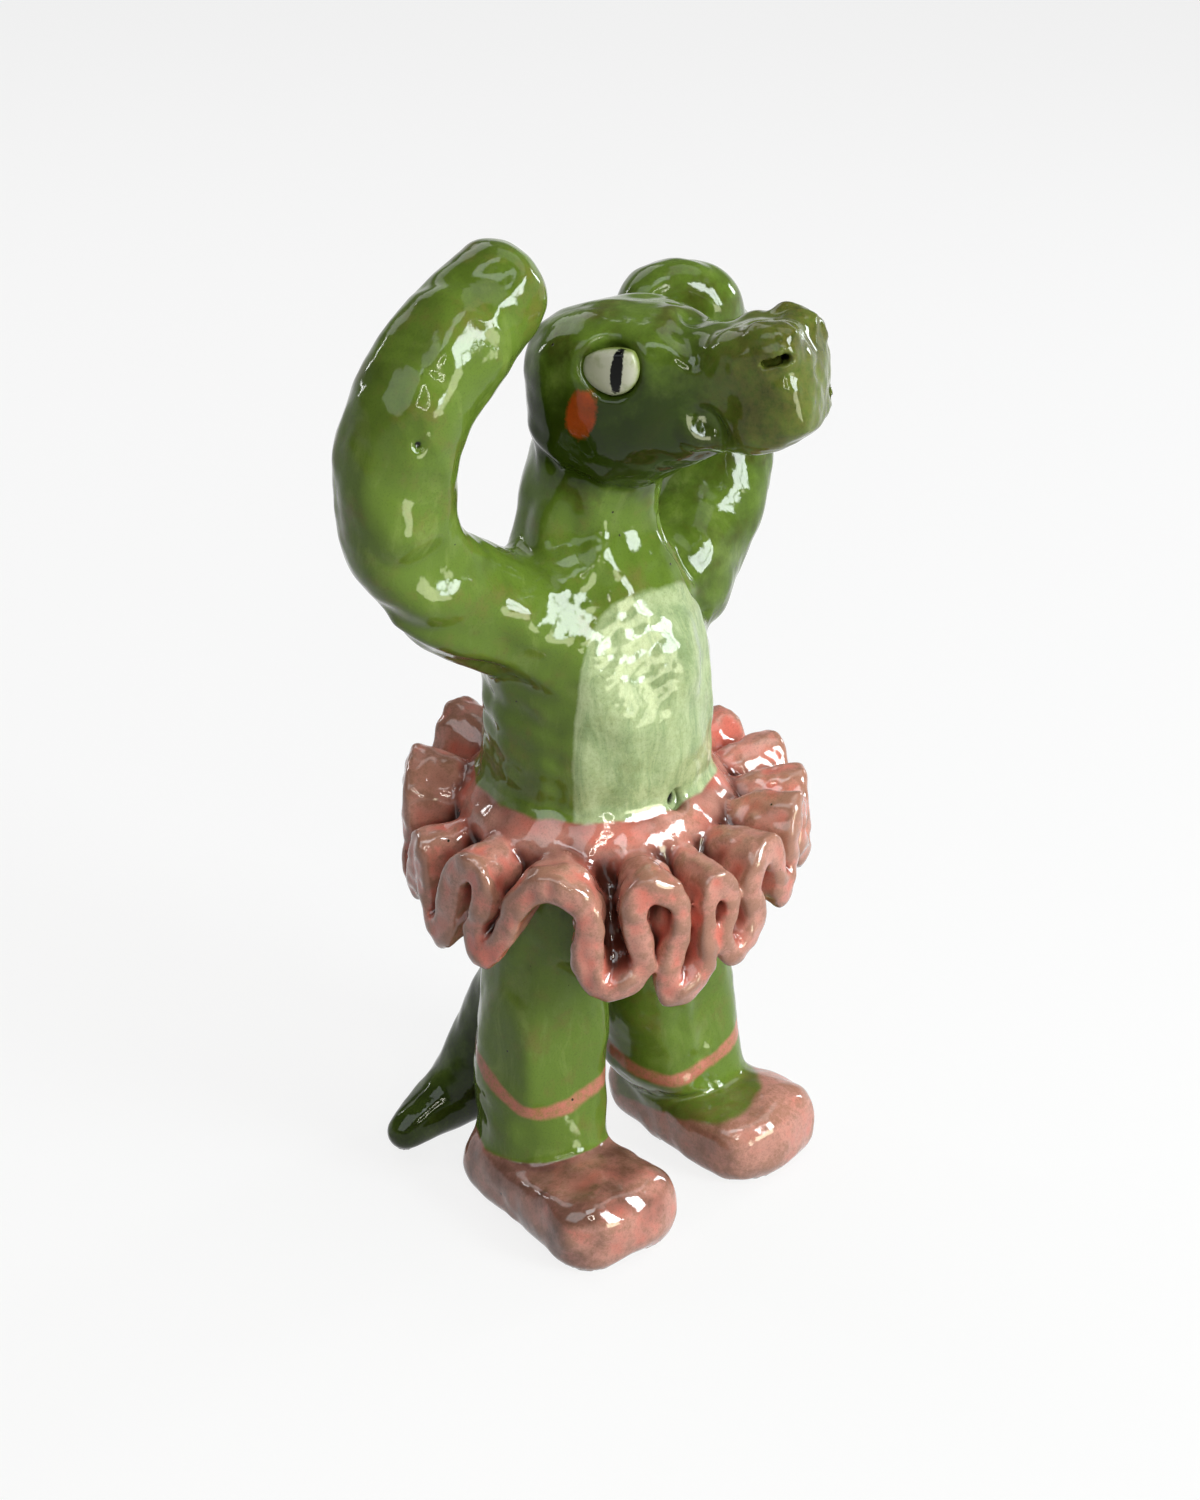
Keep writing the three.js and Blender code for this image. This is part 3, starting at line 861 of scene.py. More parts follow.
@dataclass(frozen=True)
class BodyGlaze:
    """Green and pink glaze over brown clay, with the painted marks and painted shade, under one clear gloss.
    """

    slot: Slot
    green: Colour = (99, 124, 44)
    green_light: Colour = (126, 147, 70)
    green_deep: Colour = (62, 81, 14)
    green_thin: Colour = (114, 110, 52)
    pooled_and_shade: Colour = (32, 48, 0)
    coral: Colour = (214, 116, 100)
    dusty: Colour = (200, 142, 128)
    bare: Colour = (158, 114, 94)
    crevice_shade: Colour = (58, 28, 20)
    pale: Colour = (182, 196, 150)
    pale_deep: Colour = (144, 164, 118)
    cheek: Colour = (170, 66, 20)
    ribbon: Colour = (198, 120, 106)
    speck: Colour = (44, 38, 22)
    roughness: float = 0.05
    index: float = 1.31

    def build(self) -> bpy.types.Material:
        """Lay out the glaze.

        Returns:
            Its material.
        """
        mix = Recipe(self.slot.value)
        place = mix.place()
        patch = mix.noise(mix.place(shift=3.1), 6.5, 4, 0.6)
        fine = mix.noise(place, 1.1, 4, 0.7)
        grain = mix.noise(mix.place(shift=1.7), 0.32, 2, 0.6)
        ridge = mix.field("ridge")
        colour = self._green(mix, patch, fine, ridge)
        colour = self._belly(mix, colour, patch, fine)
        cheek = mix.sum(mix.brushed("cheek", fine, 0.7, 0.45), mix.rise(patch, 1.2, 0.3, 0.95), "MULTIPLY")
        colour = mix.blend(cheek, colour, shade(*self.cheek))
        ribbon = mix.sum(mix.brushed("ribbon", patch, 0.7, 0.5), mix.rise(fine, 0.95, 0.35, 0.95), "MULTIPLY")
        colour = mix.blend(ribbon, colour, shade(*self.ribbon))
        colour = mix.blend(mix.brushed("pink", patch, 0.8, 0.45), colour, self._pink(mix, patch, fine, ridge))
        colour = mix.blend(mix.rise(grain, 0.45, 0.8, 0.22), colour, shade(*self.speck))
        specks = self._specks(mix)
        colour = mix.blend(specks, colour, shade(*self.speck))
        # Painted shade: nearly black inside the nostrils, the vent and the pinhole.
        colour = mix.blend(mix.brushed("pit", fine, 0.2, 0.25), colour, shade(12, 12, 6))
        surface = mix.node("ShaderNodeBsdfPrincipled")
        mix.feed(surface.inputs["Base Color"], colour)
        rough = mix.sum(mix.rise(fine, 0.3, 0.8, 0.08), self.roughness)
        mix.feed(surface.inputs["Roughness"], rough)
        surface.inputs["IOR"].default_value = self.index
        bump = mix.node("ShaderNodeBump")
        bump.inputs["Strength"].default_value = 1.0
        bump.inputs["Distance"].default_value = 0.12 * MM
        wave = mix.noise(mix.place(shift=7.3), 2.8, 2, 0.4)
        height = mix.sum(mix.sum(fine, 0.08, "MULTIPLY"), wave)
        height = mix.sum(height, mix.sum(specks, 0.6, "MULTIPLY"), "SUBTRACT")
        mix.feed(bump.inputs["Height"], height)
        mix.feed(surface.inputs["Normal"], bump.outputs["Normal"])
        output = mix.node("ShaderNodeOutputMaterial")
        mix.feed(output.inputs["Surface"], surface.outputs["BSDF"])
        return mix.material

    def _green(
        self,
        mix: Recipe,
        patch: bpy.types.NodeSocket,
        fine: bpy.types.NodeSocket,
        ridge: bpy.types.NodeSocket,
    ) -> bpy.types.NodeSocket:
        """Green that darkens where it is thick and where shade is painted, and browns where it is thin.

        Args:
            mix: The glaze's nodes.
            patch, fine: Noise in patches and in fine cloud.
            ridge: How sharply the clay bulges.

        Returns:
            The colour.
        """
        broad = mix.noise(mix.place(shift=0.2), 17, 3, 0.55, 0.6)
        streak = mix.noise(mix.place((1.0, 1.0, 0.45), 5.2), 5.0, 5, 0.65, 0.8)
        light = mix.rise(streak, 0.48, 0.72, 0.8)
        colour = mix.blend(light, shade(*self.green), shade(*self.green_light))
        thick = mix.sum(broad, mix.sum(mix.sum(streak, 0.5, "SUBTRACT"), 0.5, "MULTIPLY"))
        colour = mix.blend(mix.rise(thick, 0.5, 0.75, 0.55), colour, shade(*self.green_deep))
        lifted = mix.sum(mix.sum(patch, mix.sum(ridge, 0.1, "MULTIPLY")), mix.sum(fine, 0.3, "MULTIPLY"))
        colour = mix.blend(mix.rise(lifted, 0.66, 0.92, 0.7), colour, shade(*self.green_thin))
        # Darker olive from the deep field: partly thick glaze, partly painted shade on the lower face, the
        # snout's tip, the tail and the left arm.
        pooled_and_shade = mix.brushed("deep", patch, 5.0, 3.5)
        colour = mix.blend(mix.sum(pooled_and_shade, 0.92, "MULTIPLY"), colour, shade(*self.pooled_and_shade))
        worn = mix.sum(mix.brushed("worn", patch, 6.0, 4.0), mix.rise(fine, 0.2, 0.7, 0.55), "MULTIPLY")
        return mix.blend(worn, colour, shade(*self.green_thin))

    def _belly(
        self,
        mix: Recipe,
        colour: bpy.types.NodeSocket,
        patch: bpy.types.NodeSocket,
        fine: bpy.types.NodeSocket,
    ) -> bpy.types.NodeSocket:
        """Pale green brushed over the belly in strokes.

        Args:
            mix: The glaze's nodes.
            colour: The green under it.
            patch, fine: Noise in patches and in fine cloud.

        Returns:
            The colour.
        """
        stroke = mix.noise(mix.place((1.6, 1.6, 0.5), 0.4), 6, 5, 0.7, 0.6)
        pale = mix.blend(mix.rise(stroke, 0.36, 0.66), shade(*self.pale), shade(*self.pale_deep))
        thin = mix.rise(mix.sum(patch, fine), 0.85, 1.3, 0.3)
        pale = mix.blend(thin, pale, colour)
        return mix.blend(mix.brushed("pale", patch, 0.8, 0.35), colour, pale)

    def _pink(
        self,
        mix: Recipe,
        patch: bpy.types.NodeSocket,
        fine: bpy.types.NodeSocket,
        ridge: bpy.types.NodeSocket,
    ) -> bpy.types.NodeSocket:
        """Coral that pools in the folds, is darkened with painted shade deep in the folds and on the clogs,
        and breaks to brown clay on the rims.

        Args:
            mix: The glaze's nodes.
            patch, fine: Noise in patches and in fine cloud.
            ridge: How sharply the clay bulges.

        Returns:
            The colour.
        """
        broad = mix.noise(mix.place(shift=0.2), 15, 3, 0.55, 0.6)
        worn = mix.sum(mix.brushed("worn", patch, 6.0, 4.0), 0.1, "MULTIPLY")
        pooled_and_shade = mix.sum(mix.sum(broad, mix.sum(ridge, 0.16, "MULTIPLY")), mix.sum(patch, 0.4, "MULTIPLY"))
        pooled_and_shade = mix.sum(pooled_and_shade, worn)
        colour = mix.blend(mix.rise(pooled_and_shade, 0.52, 0.86), shade(*self.coral), shade(*self.dusty))
        lifted = mix.sum(mix.sum(mix.sum(ridge, 0.4, "MULTIPLY"), mix.sum(patch, fine)), worn)
        colour = mix.blend(mix.rise(lifted, 1.0, 1.42, 0.8), colour, shade(*self.bare))
        # Dark brown painted shade deep in the folds, and the clogs' painted shade and smudges.
        hollow = mix.brushed("hollow", patch, 0.5, 0.65)
        return mix.blend(mix.sum(hollow, 0.95, "MULTIPLY"), colour, shade(*self.crevice_shade))

    def _specks(self, mix: Recipe) -> bpy.types.NodeSocket:
        """Scatter pinholes and iron specks.

        Args:
            mix: The glaze's nodes.

        Returns:
            A mask, 1 on a speck.
        """
        cells = mix.node("ShaderNodeTexVoronoi")
        mix.feed(cells.inputs["Vector"], mix.place(shift=0.9))
        cells.inputs["Scale"].default_value = 1 / (4.2 * MM)
        parts = mix.node("ShaderNodeSeparateColor")
        mix.feed(parts.inputs["Color"], cells.outputs["Color"])
        chosen = mix.rise(parts.outputs["Red"], 0.70, 0.72)
        size = mix.sum(mix.sum(parts.outputs["Green"], 0.05, "MULTIPLY"), 0.03)
        gap = mix.sum(size, cells.outputs["Distance"], "SUBTRACT")
        return mix.sum(mix.rise(gap, 0.0, 0.03), chosen, "MULTIPLY")


@dataclass(frozen=True)
class EyeGlaze:
    """White glaze with a painted slit pupil."""

    white: Colour = (192, 192, 176)
    tint: Colour = (124, 138, 72)
    pupil: Colour = (6, 6, 5)

    def build(self) -> bpy.types.Material:
        """Lay out the glaze.

        Returns:
            Its material.
        """
        mix = Recipe(Slot.WHITE.value)
        place = mix.place()
        patch = mix.noise(place, 2.4, 3, 0.6)
        fine = mix.noise(mix.place(shift=0.6), 0.5, 3)
        colour = mix.blend(mix.rise(patch, 0.5, 0.75, 0.35), shade(*self.white), shade(*self.tint))
        colour = mix.blend(mix.brushed("rim", patch, 0.7, 0.7), colour, shade(*self.tint))
        colour = mix.blend(mix.brushed("pupil", fine, 0.25, 0.1), colour, shade(*self.pupil))
        surface = mix.node("ShaderNodeBsdfPrincipled")
        mix.feed(surface.inputs["Base Color"], colour)
        mix.feed(surface.inputs["Roughness"], mix.sum(mix.rise(fine, 0.3, 0.8, 0.06), 0.06))
        surface.inputs["IOR"].default_value = 1.26
        bump = mix.node("ShaderNodeBump")
        bump.inputs["Strength"].default_value = 0.3
        bump.inputs["Distance"].default_value = 0.08 * MM
        mix.feed(bump.inputs["Height"], patch)
        mix.feed(surface.inputs["Normal"], bump.outputs["Normal"])
        output = mix.node("ShaderNodeOutputMaterial")
        mix.feed(output.inputs["Surface"], surface.outputs["BSDF"])
        return mix.material


@dataclass
class Head:
    """Skull, snout, eyes and cheeks, in a frame that is turned to the figure's left and tipped up."""

    origin: tuple[float, float, float] = (2.73, -2.13, 146.5)
    turn: float = 25.0
    tip: float = 12.0
    eye_forward: float = 4.6
    eye_spread: float = 11.1
    eye_rise: float = 7.3
    eye_half: tuple[float, float, float] = (4.8, 2.0, 4.6)
    upright: float = 0.3
    pupil_half_width: float = 0.98
    pupil_half_height: float = 3.5
    pupil_forward: float = 1.8
    cheek_place: tuple[float, float] = (-1.4, 0.4)
    cheek_half: tuple[float, float] = (2.7, 3.9)
    lid_radius: float = 5.2
    lid_height: float = 0.4
    snout_start: float = 20.0
    snout_end: float = 33.6
    snout_middle: float = 1.0
    nostril: Route = ((25.6, 8.6, 5.0), (29.2, 8.3, 5.5), (32.0, 8.0, 5.9))
    brow: Route = ((18.0, 8.0, 7.0), (15.5, 5.5, 10.5), (14.5, 0.0, 11.5))
    throat_crease: Route = ((-12.5, 6, 139.0), (-10.4, 2.7, 137.0), (-8.4, 0.5, 135.6), (-6, -3.5, 135.2))

    def frame(self) -> np.ndarray:
        """Find the head's axes in the figure's frame.

        Returns:
            Rows of forward, left and up.
        """
        turn, tip = math.radians(self.turn), math.radians(self.tip)
        forward = np.array(
            [math.sin(turn) * math.cos(tip), -math.cos(turn) * math.cos(tip), math.sin(tip)]
        )
        left = np.array([math.cos(turn), math.sin(turn), 0])
        return np.stack([forward, left, np.cross(forward, left)])

    def inside(self, points: np.ndarray) -> np.ndarray:
        """Points as forward, left and up from the middle of the skull."""
        return (points - np.array(self.origin)) @ self.frame().T

    def outside(self, forward: float, left: float, up: float) -> tuple[float, float, float]:
        """A place in the head as a place in the figure's frame."""
        return tuple(np.array(self.origin) + np.array([forward, left, up]) @ self.frame())

    def sculpt(self, skin: ClaySkin) -> None:
        """Square the snout and the skull, raise lids and brows, and press mouth, nostrils and throat.

        Args:
            skin: The luted clay.
        """
        face = step(skin.on("head", "snout"), -3, 1)
        forward = self.inside(skin.points)[:, 0]
        muzzle = step(forward, self.snout_start - 4, self.snout_start + 4) * face
        self._square(skin, muzzle, 0.6, self.snout_end)
        skin.thumb(self.outside(32, 9, 9), 5.5, -2.0, face)
        skin.thumb(self.outside(33, 9, -4), 5.5, -1.8, face)
        skull = step(forward, -14, -4) * (1 - step(forward, 12, 20)) * face
        self._square(skin, skull * step(self.inside(skin.points)[:, 2], -8, 2), 0.4, 99)
        for side in (-1, 1):
            self._lid(skin, side, face)
            skin.thumb(self.outside(16.2, side * 8.6, -4), 2.4, -1.1, face)
            skin.thumb(self.outside(18.6, side * 8.8, -5.6), 2.2, -0.9, face)
            skin.thumb(self.outside(23, side * 10, -1), 5, -0.5, face)
            skin.thumb(self.outside(27, side * 6, 9.5), 2.2, 0.9, face)
            skin.thumb(self.outside(22.5, side * 5, 9.0), 2.0, 0.6, face)
            facing = tuple(self.frame().T @ (0.75, 0.65 * side, 0.12))
            skin.pat(self.outside(16.9, side * 8.6, -4.4), facing, 5, 0.6)
            skin.score(self._mirrored(self.brow, side), 1.6, 0.6, face)
            skin.score(self._mirrored(self.nostril, side), 0.8, 0.8, face)
            skin.score(self._mirrored(self.nostril[1:], side), 0.62, 2.4, face)
        rough = step(self.inside(skin.points)[:, 0], 22, 27) * face
        skin.push(rough * (0.12 * ripple(skin.points, 4.5, 21) + 0.05 * ripple(skin.points, 2.4, 5)))
        skin.score(self.throat_crease, 1.5, 0.9, face)

    def _mirrored(self, route: Route, side: int) -> list[Place]:
        """A route in the head as one in the figure's frame, on its left for 1 or its right for -1."""
        return [self.outside(forward, side * left, up) for forward, left, up in route]

    def _square(self, skin: ClaySkin, share: np.ndarray, strength: float, end: float) -> None:
        """Pat a part of the head into a block with a blunt end.

        Args:
            skin: The clay.
            share: How much each point follows.
            strength: How far the corners are drawn out.
            end: Where the blunt end starts, forward from the skull's middle.
        """
        place = self.inside(skin.points)
        across, upward = place[:, 1], place[:, 2] - self.snout_middle
        size = np.maximum(np.hypot(across, upward), 1e-6)
        corner = (np.abs(across / size) ** 4 + np.abs(upward / size) ** 4) ** -0.25
        grow = 1 + strength * (corner - 1) * share
        past = np.maximum(place[:, 0] - end, 0) * share
        moved = np.stack([place[:, 0] - 0.5 * past, across * grow, self.snout_middle + upward * grow], axis=1)
        skin.points = np.array(self.origin) + moved @ self.frame()

    def _lid(self, skin: ClaySkin, side: int, face: np.ndarray) -> None:
        """Raise the clay round an eye.

        Args:
            skin: The luted clay.
            side: 1 for the figure's left, -1 for its right.
            face: Share that each point takes.
        """
        place = self.inside(skin.points)
        ring = np.hypot(place[:, 0] - self.eye_forward, (place[:, 2] - self.eye_rise) * 1.1)
        lid = np.exp(-(((ring - self.lid_radius) / 2.0) ** 2)) * step(place[:, 1] * side, 5, 8)
        skin.push(self.lid_height * lid * face)

    def paint(self, skin: ClaySkin) -> None:
        """Lay the fields of the cheeks, the worn snout, the painted shade in the nostrils, and the face's
        darker olive, partly thick glaze and partly painted shade, darkest low on the face and at the snout's
        tip.

        Args:
            skin: The luted clay.
        """
        place = self.inside(skin.points)
        for side in (-1, 1):
            # Painted shade inside the nostrils' slits.
            for depth in (0, 1.2, 2.4):
                slit = [self.outside(f, side * (l - depth), u) for f, l, u in self.nostril[1:]]
                skin.glaze["pit"] = np.maximum(skin.glaze["pit"], 0.75 - skin.from_path(slit))
        # Painted shade, with some thick glaze: darker low on the face and towards the snout's tip.
        face_pool_and_shade = np.minimum(3.4 - 0.36 * place[:, 2], 0.5 * (19 - place[:, 0]))
        muzzle = np.minimum(skin.on("snout"), 0) + 0.13 * place[:, 0] - 3.9
        face_pool_and_shade = np.maximum(np.minimum(face_pool_and_shade, skin.on("head") + 1), muzzle)
        skin.glaze["deep"] = np.maximum(skin.glaze["deep"], face_pool_and_shade)
        across = (place[:, 0] - self.cheek_place[0] - self.upright * place[:, 2]) / self.cheek_half[0]
        upward = (place[:, 2] - self.cheek_place[1]) / self.cheek_half[1]
        oval = (1 - np.hypot(across, upward)) * self.cheek_half[0]
        tip = np.where(skin.on("snout", "head") > 0, place[:, 0] - 20, -9)
        skin.glaze["worn"] = np.maximum(skin.glaze["worn"], np.minimum(tip, 6))
        beside = step(np.abs(place[:, 1]), 6, 8) * step(skin.on("head"), -2, 0)
        skin.glaze["cheek"] = np.where(beside > 0.5, oval, -9)

    def eyes(self, finish: bpy.types.Material) -> list[bpy.types.Object]:
        """Model both eyes as pressed balls of white clay.

        Args:
            finish: The white glaze.

        Returns:
            The two eyes.
        """
        made = []
        for side, node in ((-1, "right_eye"), (1, "left_eye")):
            ball = bmesh.new()
            bmesh.ops.create_uvsphere(ball, u_segments=64, v_segments=40, radius=1)
            for vert in ball.verts:
                vert.co = self._pressed(vert.co)
            turned = Matrix([Vector(row) for row in self.frame()]).transposed().to_4x4()
            middle = Vector(self.outside(self.eye_forward, side * self.eye_spread, self.eye_rise)) * MM
            size = Matrix.Diagonal((*(half * MM for half in self.eye_half), 1))
            bmesh.ops.transform(
                ball, matrix=Matrix.Translation(middle) @ turned @ size, verts=ball.verts
            )
            mesh = bpy.data.meshes.new(f"glazed_{node}")
            ball.to_mesh(mesh)
            ball.free()
            mesh.polygons.foreach_set("use_smooth", np.ones(len(mesh.polygons), bool))
            points = np.array([vert.co for vert in mesh.vertices]) / MM
            self._paint_eye(mesh, points, side)
            mesh.materials.append(finish)
            eye = link(f"glazed_{node}", mesh)
            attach(eye, BODY)
            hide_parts(node)
            made.append(eye)
        return made

    @staticmethod
    def _pressed(place: Vector) -> Vector:
        """Press a round ball into an almond with a straight upper lid.

        Args:
            place: A point of the round ball.

        Returns:
            The point after pressing.
        """
        corner = 1 - 0.28 * min(place.x, 0) ** 2
        height = place.z * corner - 0.1 * min(place.x, 0) ** 2
        depth = math.copysign(abs(place.y) ** 0.8, place.y)
        return Vector((place.x, depth, height - 0.65 * max(height - 0.42, 0)))

    def _paint_eye(self, mesh: bpy.types.Mesh, points: np.ndarray, side: int) -> None:
        """Lay an eye's fields: the slit of the pupil and the green rim.

        Args:
            mesh: The eye's mesh.
            points: Its points.
            side: 1 for the figure's left, -1 for its right.
        """
        place = self.inside(points) - np.array([self.eye_forward, side * self.eye_spread, self.eye_rise])
        across = (place[:, 0] - self.pupil_forward - self.upright * place[:, 2]) / self.pupil_half_width
        upward = (place[:, 2] + 0.5) / self.pupil_half_height
        slit = (1 - (np.abs(across) ** 2.4 + np.abs(upward) ** 2.4) ** (1 / 2.4)) * self.pupil_half_width
        outer = place[:, 1] * side
        lid = np.maximum(0.7 - outer, place[:, 2] - 2.9 + 0.1 * place[:, 0])
        fields = {"pupil": np.where(outer > 0, slit, -9), "rim": lid}
        for name, values in fields.items():
            layer = mesh.attributes.new(name, "FLOAT", "POINT")
            layer.data.foreach_set("value", values.astype(np.float32))


@dataclass
class Torso:
    """Chest, belly and shoulders."""

    middle: tuple[float, float] = (0.23, 1.97)
    belly_turn: float = 3.0
    belly_half_angle: float = 53.0
    belly_foot: float = 84.0
    belly_top: float = 115.3
    waist_line: float = 77.0
    vent: Place = (1.6, -17.0, 79.4)
    wrinkles: tuple[float, ...] = (96, 91, 86.5, 82.5)
    strokes: tuple[tuple[Place, float], ...] = (
        ((-1.5, -15.6, 103.5), 0.065), ((-12, -7, 113.5), 0.055), ((-4, -5, 126), 0.06),
    )
    collar_crease: Route = (
        (8.8, -3.7, 123.4), (8.5, -6, 119.8), (10.2, -6.7, 117), (11.9, -8.5, 111.7), (18, -6, 105),
    )

    def angle(self, points: np.ndarray) -> np.ndarray:
        """Degrees round the torso from the front, towards the figure's left."""
        return np.degrees(np.arctan2(points[:, 0] - self.middle[0], self.middle[1] - points[:, 1]))

    def sculpt(self, skin: ClaySkin) -> None:
        """Press wrinkles, facets, brush strokes, the vent low on the belly and the crease of the collar.

        Args:
            skin: The luted clay.
        """
        trunk = step(skin.on("torso"), -2, 1)
        for height in self.wrinkles:
            skin.score([(-18.5, 9, height + 1), (-19.4, 2, height), (-17, -8, height - 2)], 1.5, 0.36, trunk)
        skin.thumb((-11, -8.5, 113.5), 7.5, 1.8, step(skin.on("torso", "right_arm"), -2, 1))
        skin.pat((-12.2, -7.0, 113.5), (-0.16, -0.88, 0.44), 12, 0.85)
        skin.pat((-8.9, -0.8, 124.8), (-0.5, -0.76, 0.42), 8)
        skin.pat((-3, -6, 124.2), (-0.15, -0.89, 0.42), 7, 0.3)
        skin.pat((-2.0, -13.5, 112.5), (-0.16, -0.87, 0.46), 5)
        skin.pat((-1.5, -15.6, 103.5), (-0.22, -0.93, 0.3), 13, 0.5)
        for place, strength in self.strokes:
            patch = 1 - step(np.linalg.norm(skin.points - np.array(place), axis=1), 6, 16)
            skin.push(strength * patch * ripple(skin.points, 3.4, 17))
        skin.thumb(self.vent, 1.5, -2.4)
        upper = step(skin.on("torso", "left_arm", "right_arm", "head"), -2, 1)
        skin.score(self.collar_crease, 0.9, 0.7, upper)
        skin.thumb((17, 2, 121), 5, -1.2, upper)

    def paint(self, skin: ClaySkin) -> None:
        """Lay the belly's field of glaze and the painted shade inside the vent.

        Args:
            skin: The luted clay.
        """
        turned = np.abs(self.angle(skin.points) - self.belly_turn) / self.belly_half_angle
        height = skin.points[:, 2]
        upward = np.maximum(height - self.belly_foot, 0) / (self.belly_top - self.belly_foot)
        arch = (1 - (turned**4 + upward**4) ** 0.25) * 18
        trunk = step(skin.on("torso", "waistband", "hip_base"), -1.5, 0)
        skin.glaze["pale"] = np.where(trunk > 0.3, np.minimum(arch, height - 70), -9)
        # Painted shade inside the vent.
        bottom = (self.vent[0], self.vent[1] + 4, self.vent[2])
        hole = 1.1 - skin.from_path([self.vent, bottom])
        skin.glaze["pit"] = np.maximum(skin.glaze["pit"], hole)


@dataclass
class Arms:
    """Arms raised over the head."""

    pinhole: Place = (-39.1, -4.0, 148.1)
    hand_crease: Route = ((-28.1, 8, 167.9), (-26.8, 3.5, 169.2), (-24, 0.9, 169.8), (-19.6, -0.8, 170.4))
    under_fold: Route = (
        (-38.7, 2.8, 116.7), (-33.5, -0.5, 113.3), (-27.4, -2.7, 109.6), (-19.8, -4.3, 105.3), (-16, -7, 103),
    )

    def sculpt(self, skin: ClaySkin) -> None:
        """Press the right arm's creases, facets and pinhole, and fill the left hand.

        Args:
            skin: The luted clay.
        """
        arm = step(skin.on("right_arm"), -1.5, 1)
        skin.score(self.hand_crease, 1.6, 0.4, arm)
        skin.score(self.under_fold, 2.0, -0.8, step(skin.on("right_arm", "torso"), -1.5, 1))
        skin.thumb((-24, -1.5, 106.5), 3.5, -0.6, step(skin.on("right_arm", "torso"), -1.5, 1))
        skin.thumb(self.pinhole, 0.8, -0.9, arm)
        skin.pat((-29.2, -3.2, 160.5), (-0.12, -0.93, 0.35), 7, 0.2)
        skin.pat((-41, -3.9, 136.6), (-0.17, -0.96, 0.22), 9, 0.2)
        skin.pat((-37.1, -3.6, 123.9), (-0.2, -0.96, 0.18), 9, 0.2)
        hand = step(skin.on("left_arm"), -1.5, 1)
        skin.thumb((17.5, 11, 155.5), 6, 2.6, hand)
        skin.thumb((31.5, 8, 155), 6, 3.0, hand)
        skin.thumb((28.5, 3, 154), 5, 1.0, hand)
        skin.pat((22.4, 7.5, 157.0), (-0.5, -0.79, 0.35), 9)

    def paint(self, skin: ClaySkin) -> None:
        """Paint shade inside the pinhole.

        Args:
            skin: The luted clay.
        """
        # Painted shade inside the pinhole.
        bottom = (self.pinhole[0] + 1, self.pinhole[1] + 2, self.pinhole[2])
        hole = 0.5 - skin.from_path([self.pinhole, bottom])
        skin.glaze["pit"] = np.maximum(skin.glaze["pit"], hole)


@dataclass(frozen=True)
class Turn:
    """A crest or a hollow of the tutu's rim: its tip, and how far its two sides lie from the tip.

    A turn of the hidden back leaves its sides to the tutu's lean.
    """

    angle: float
    height: float
    left: float | None = None
    right: float | None = None


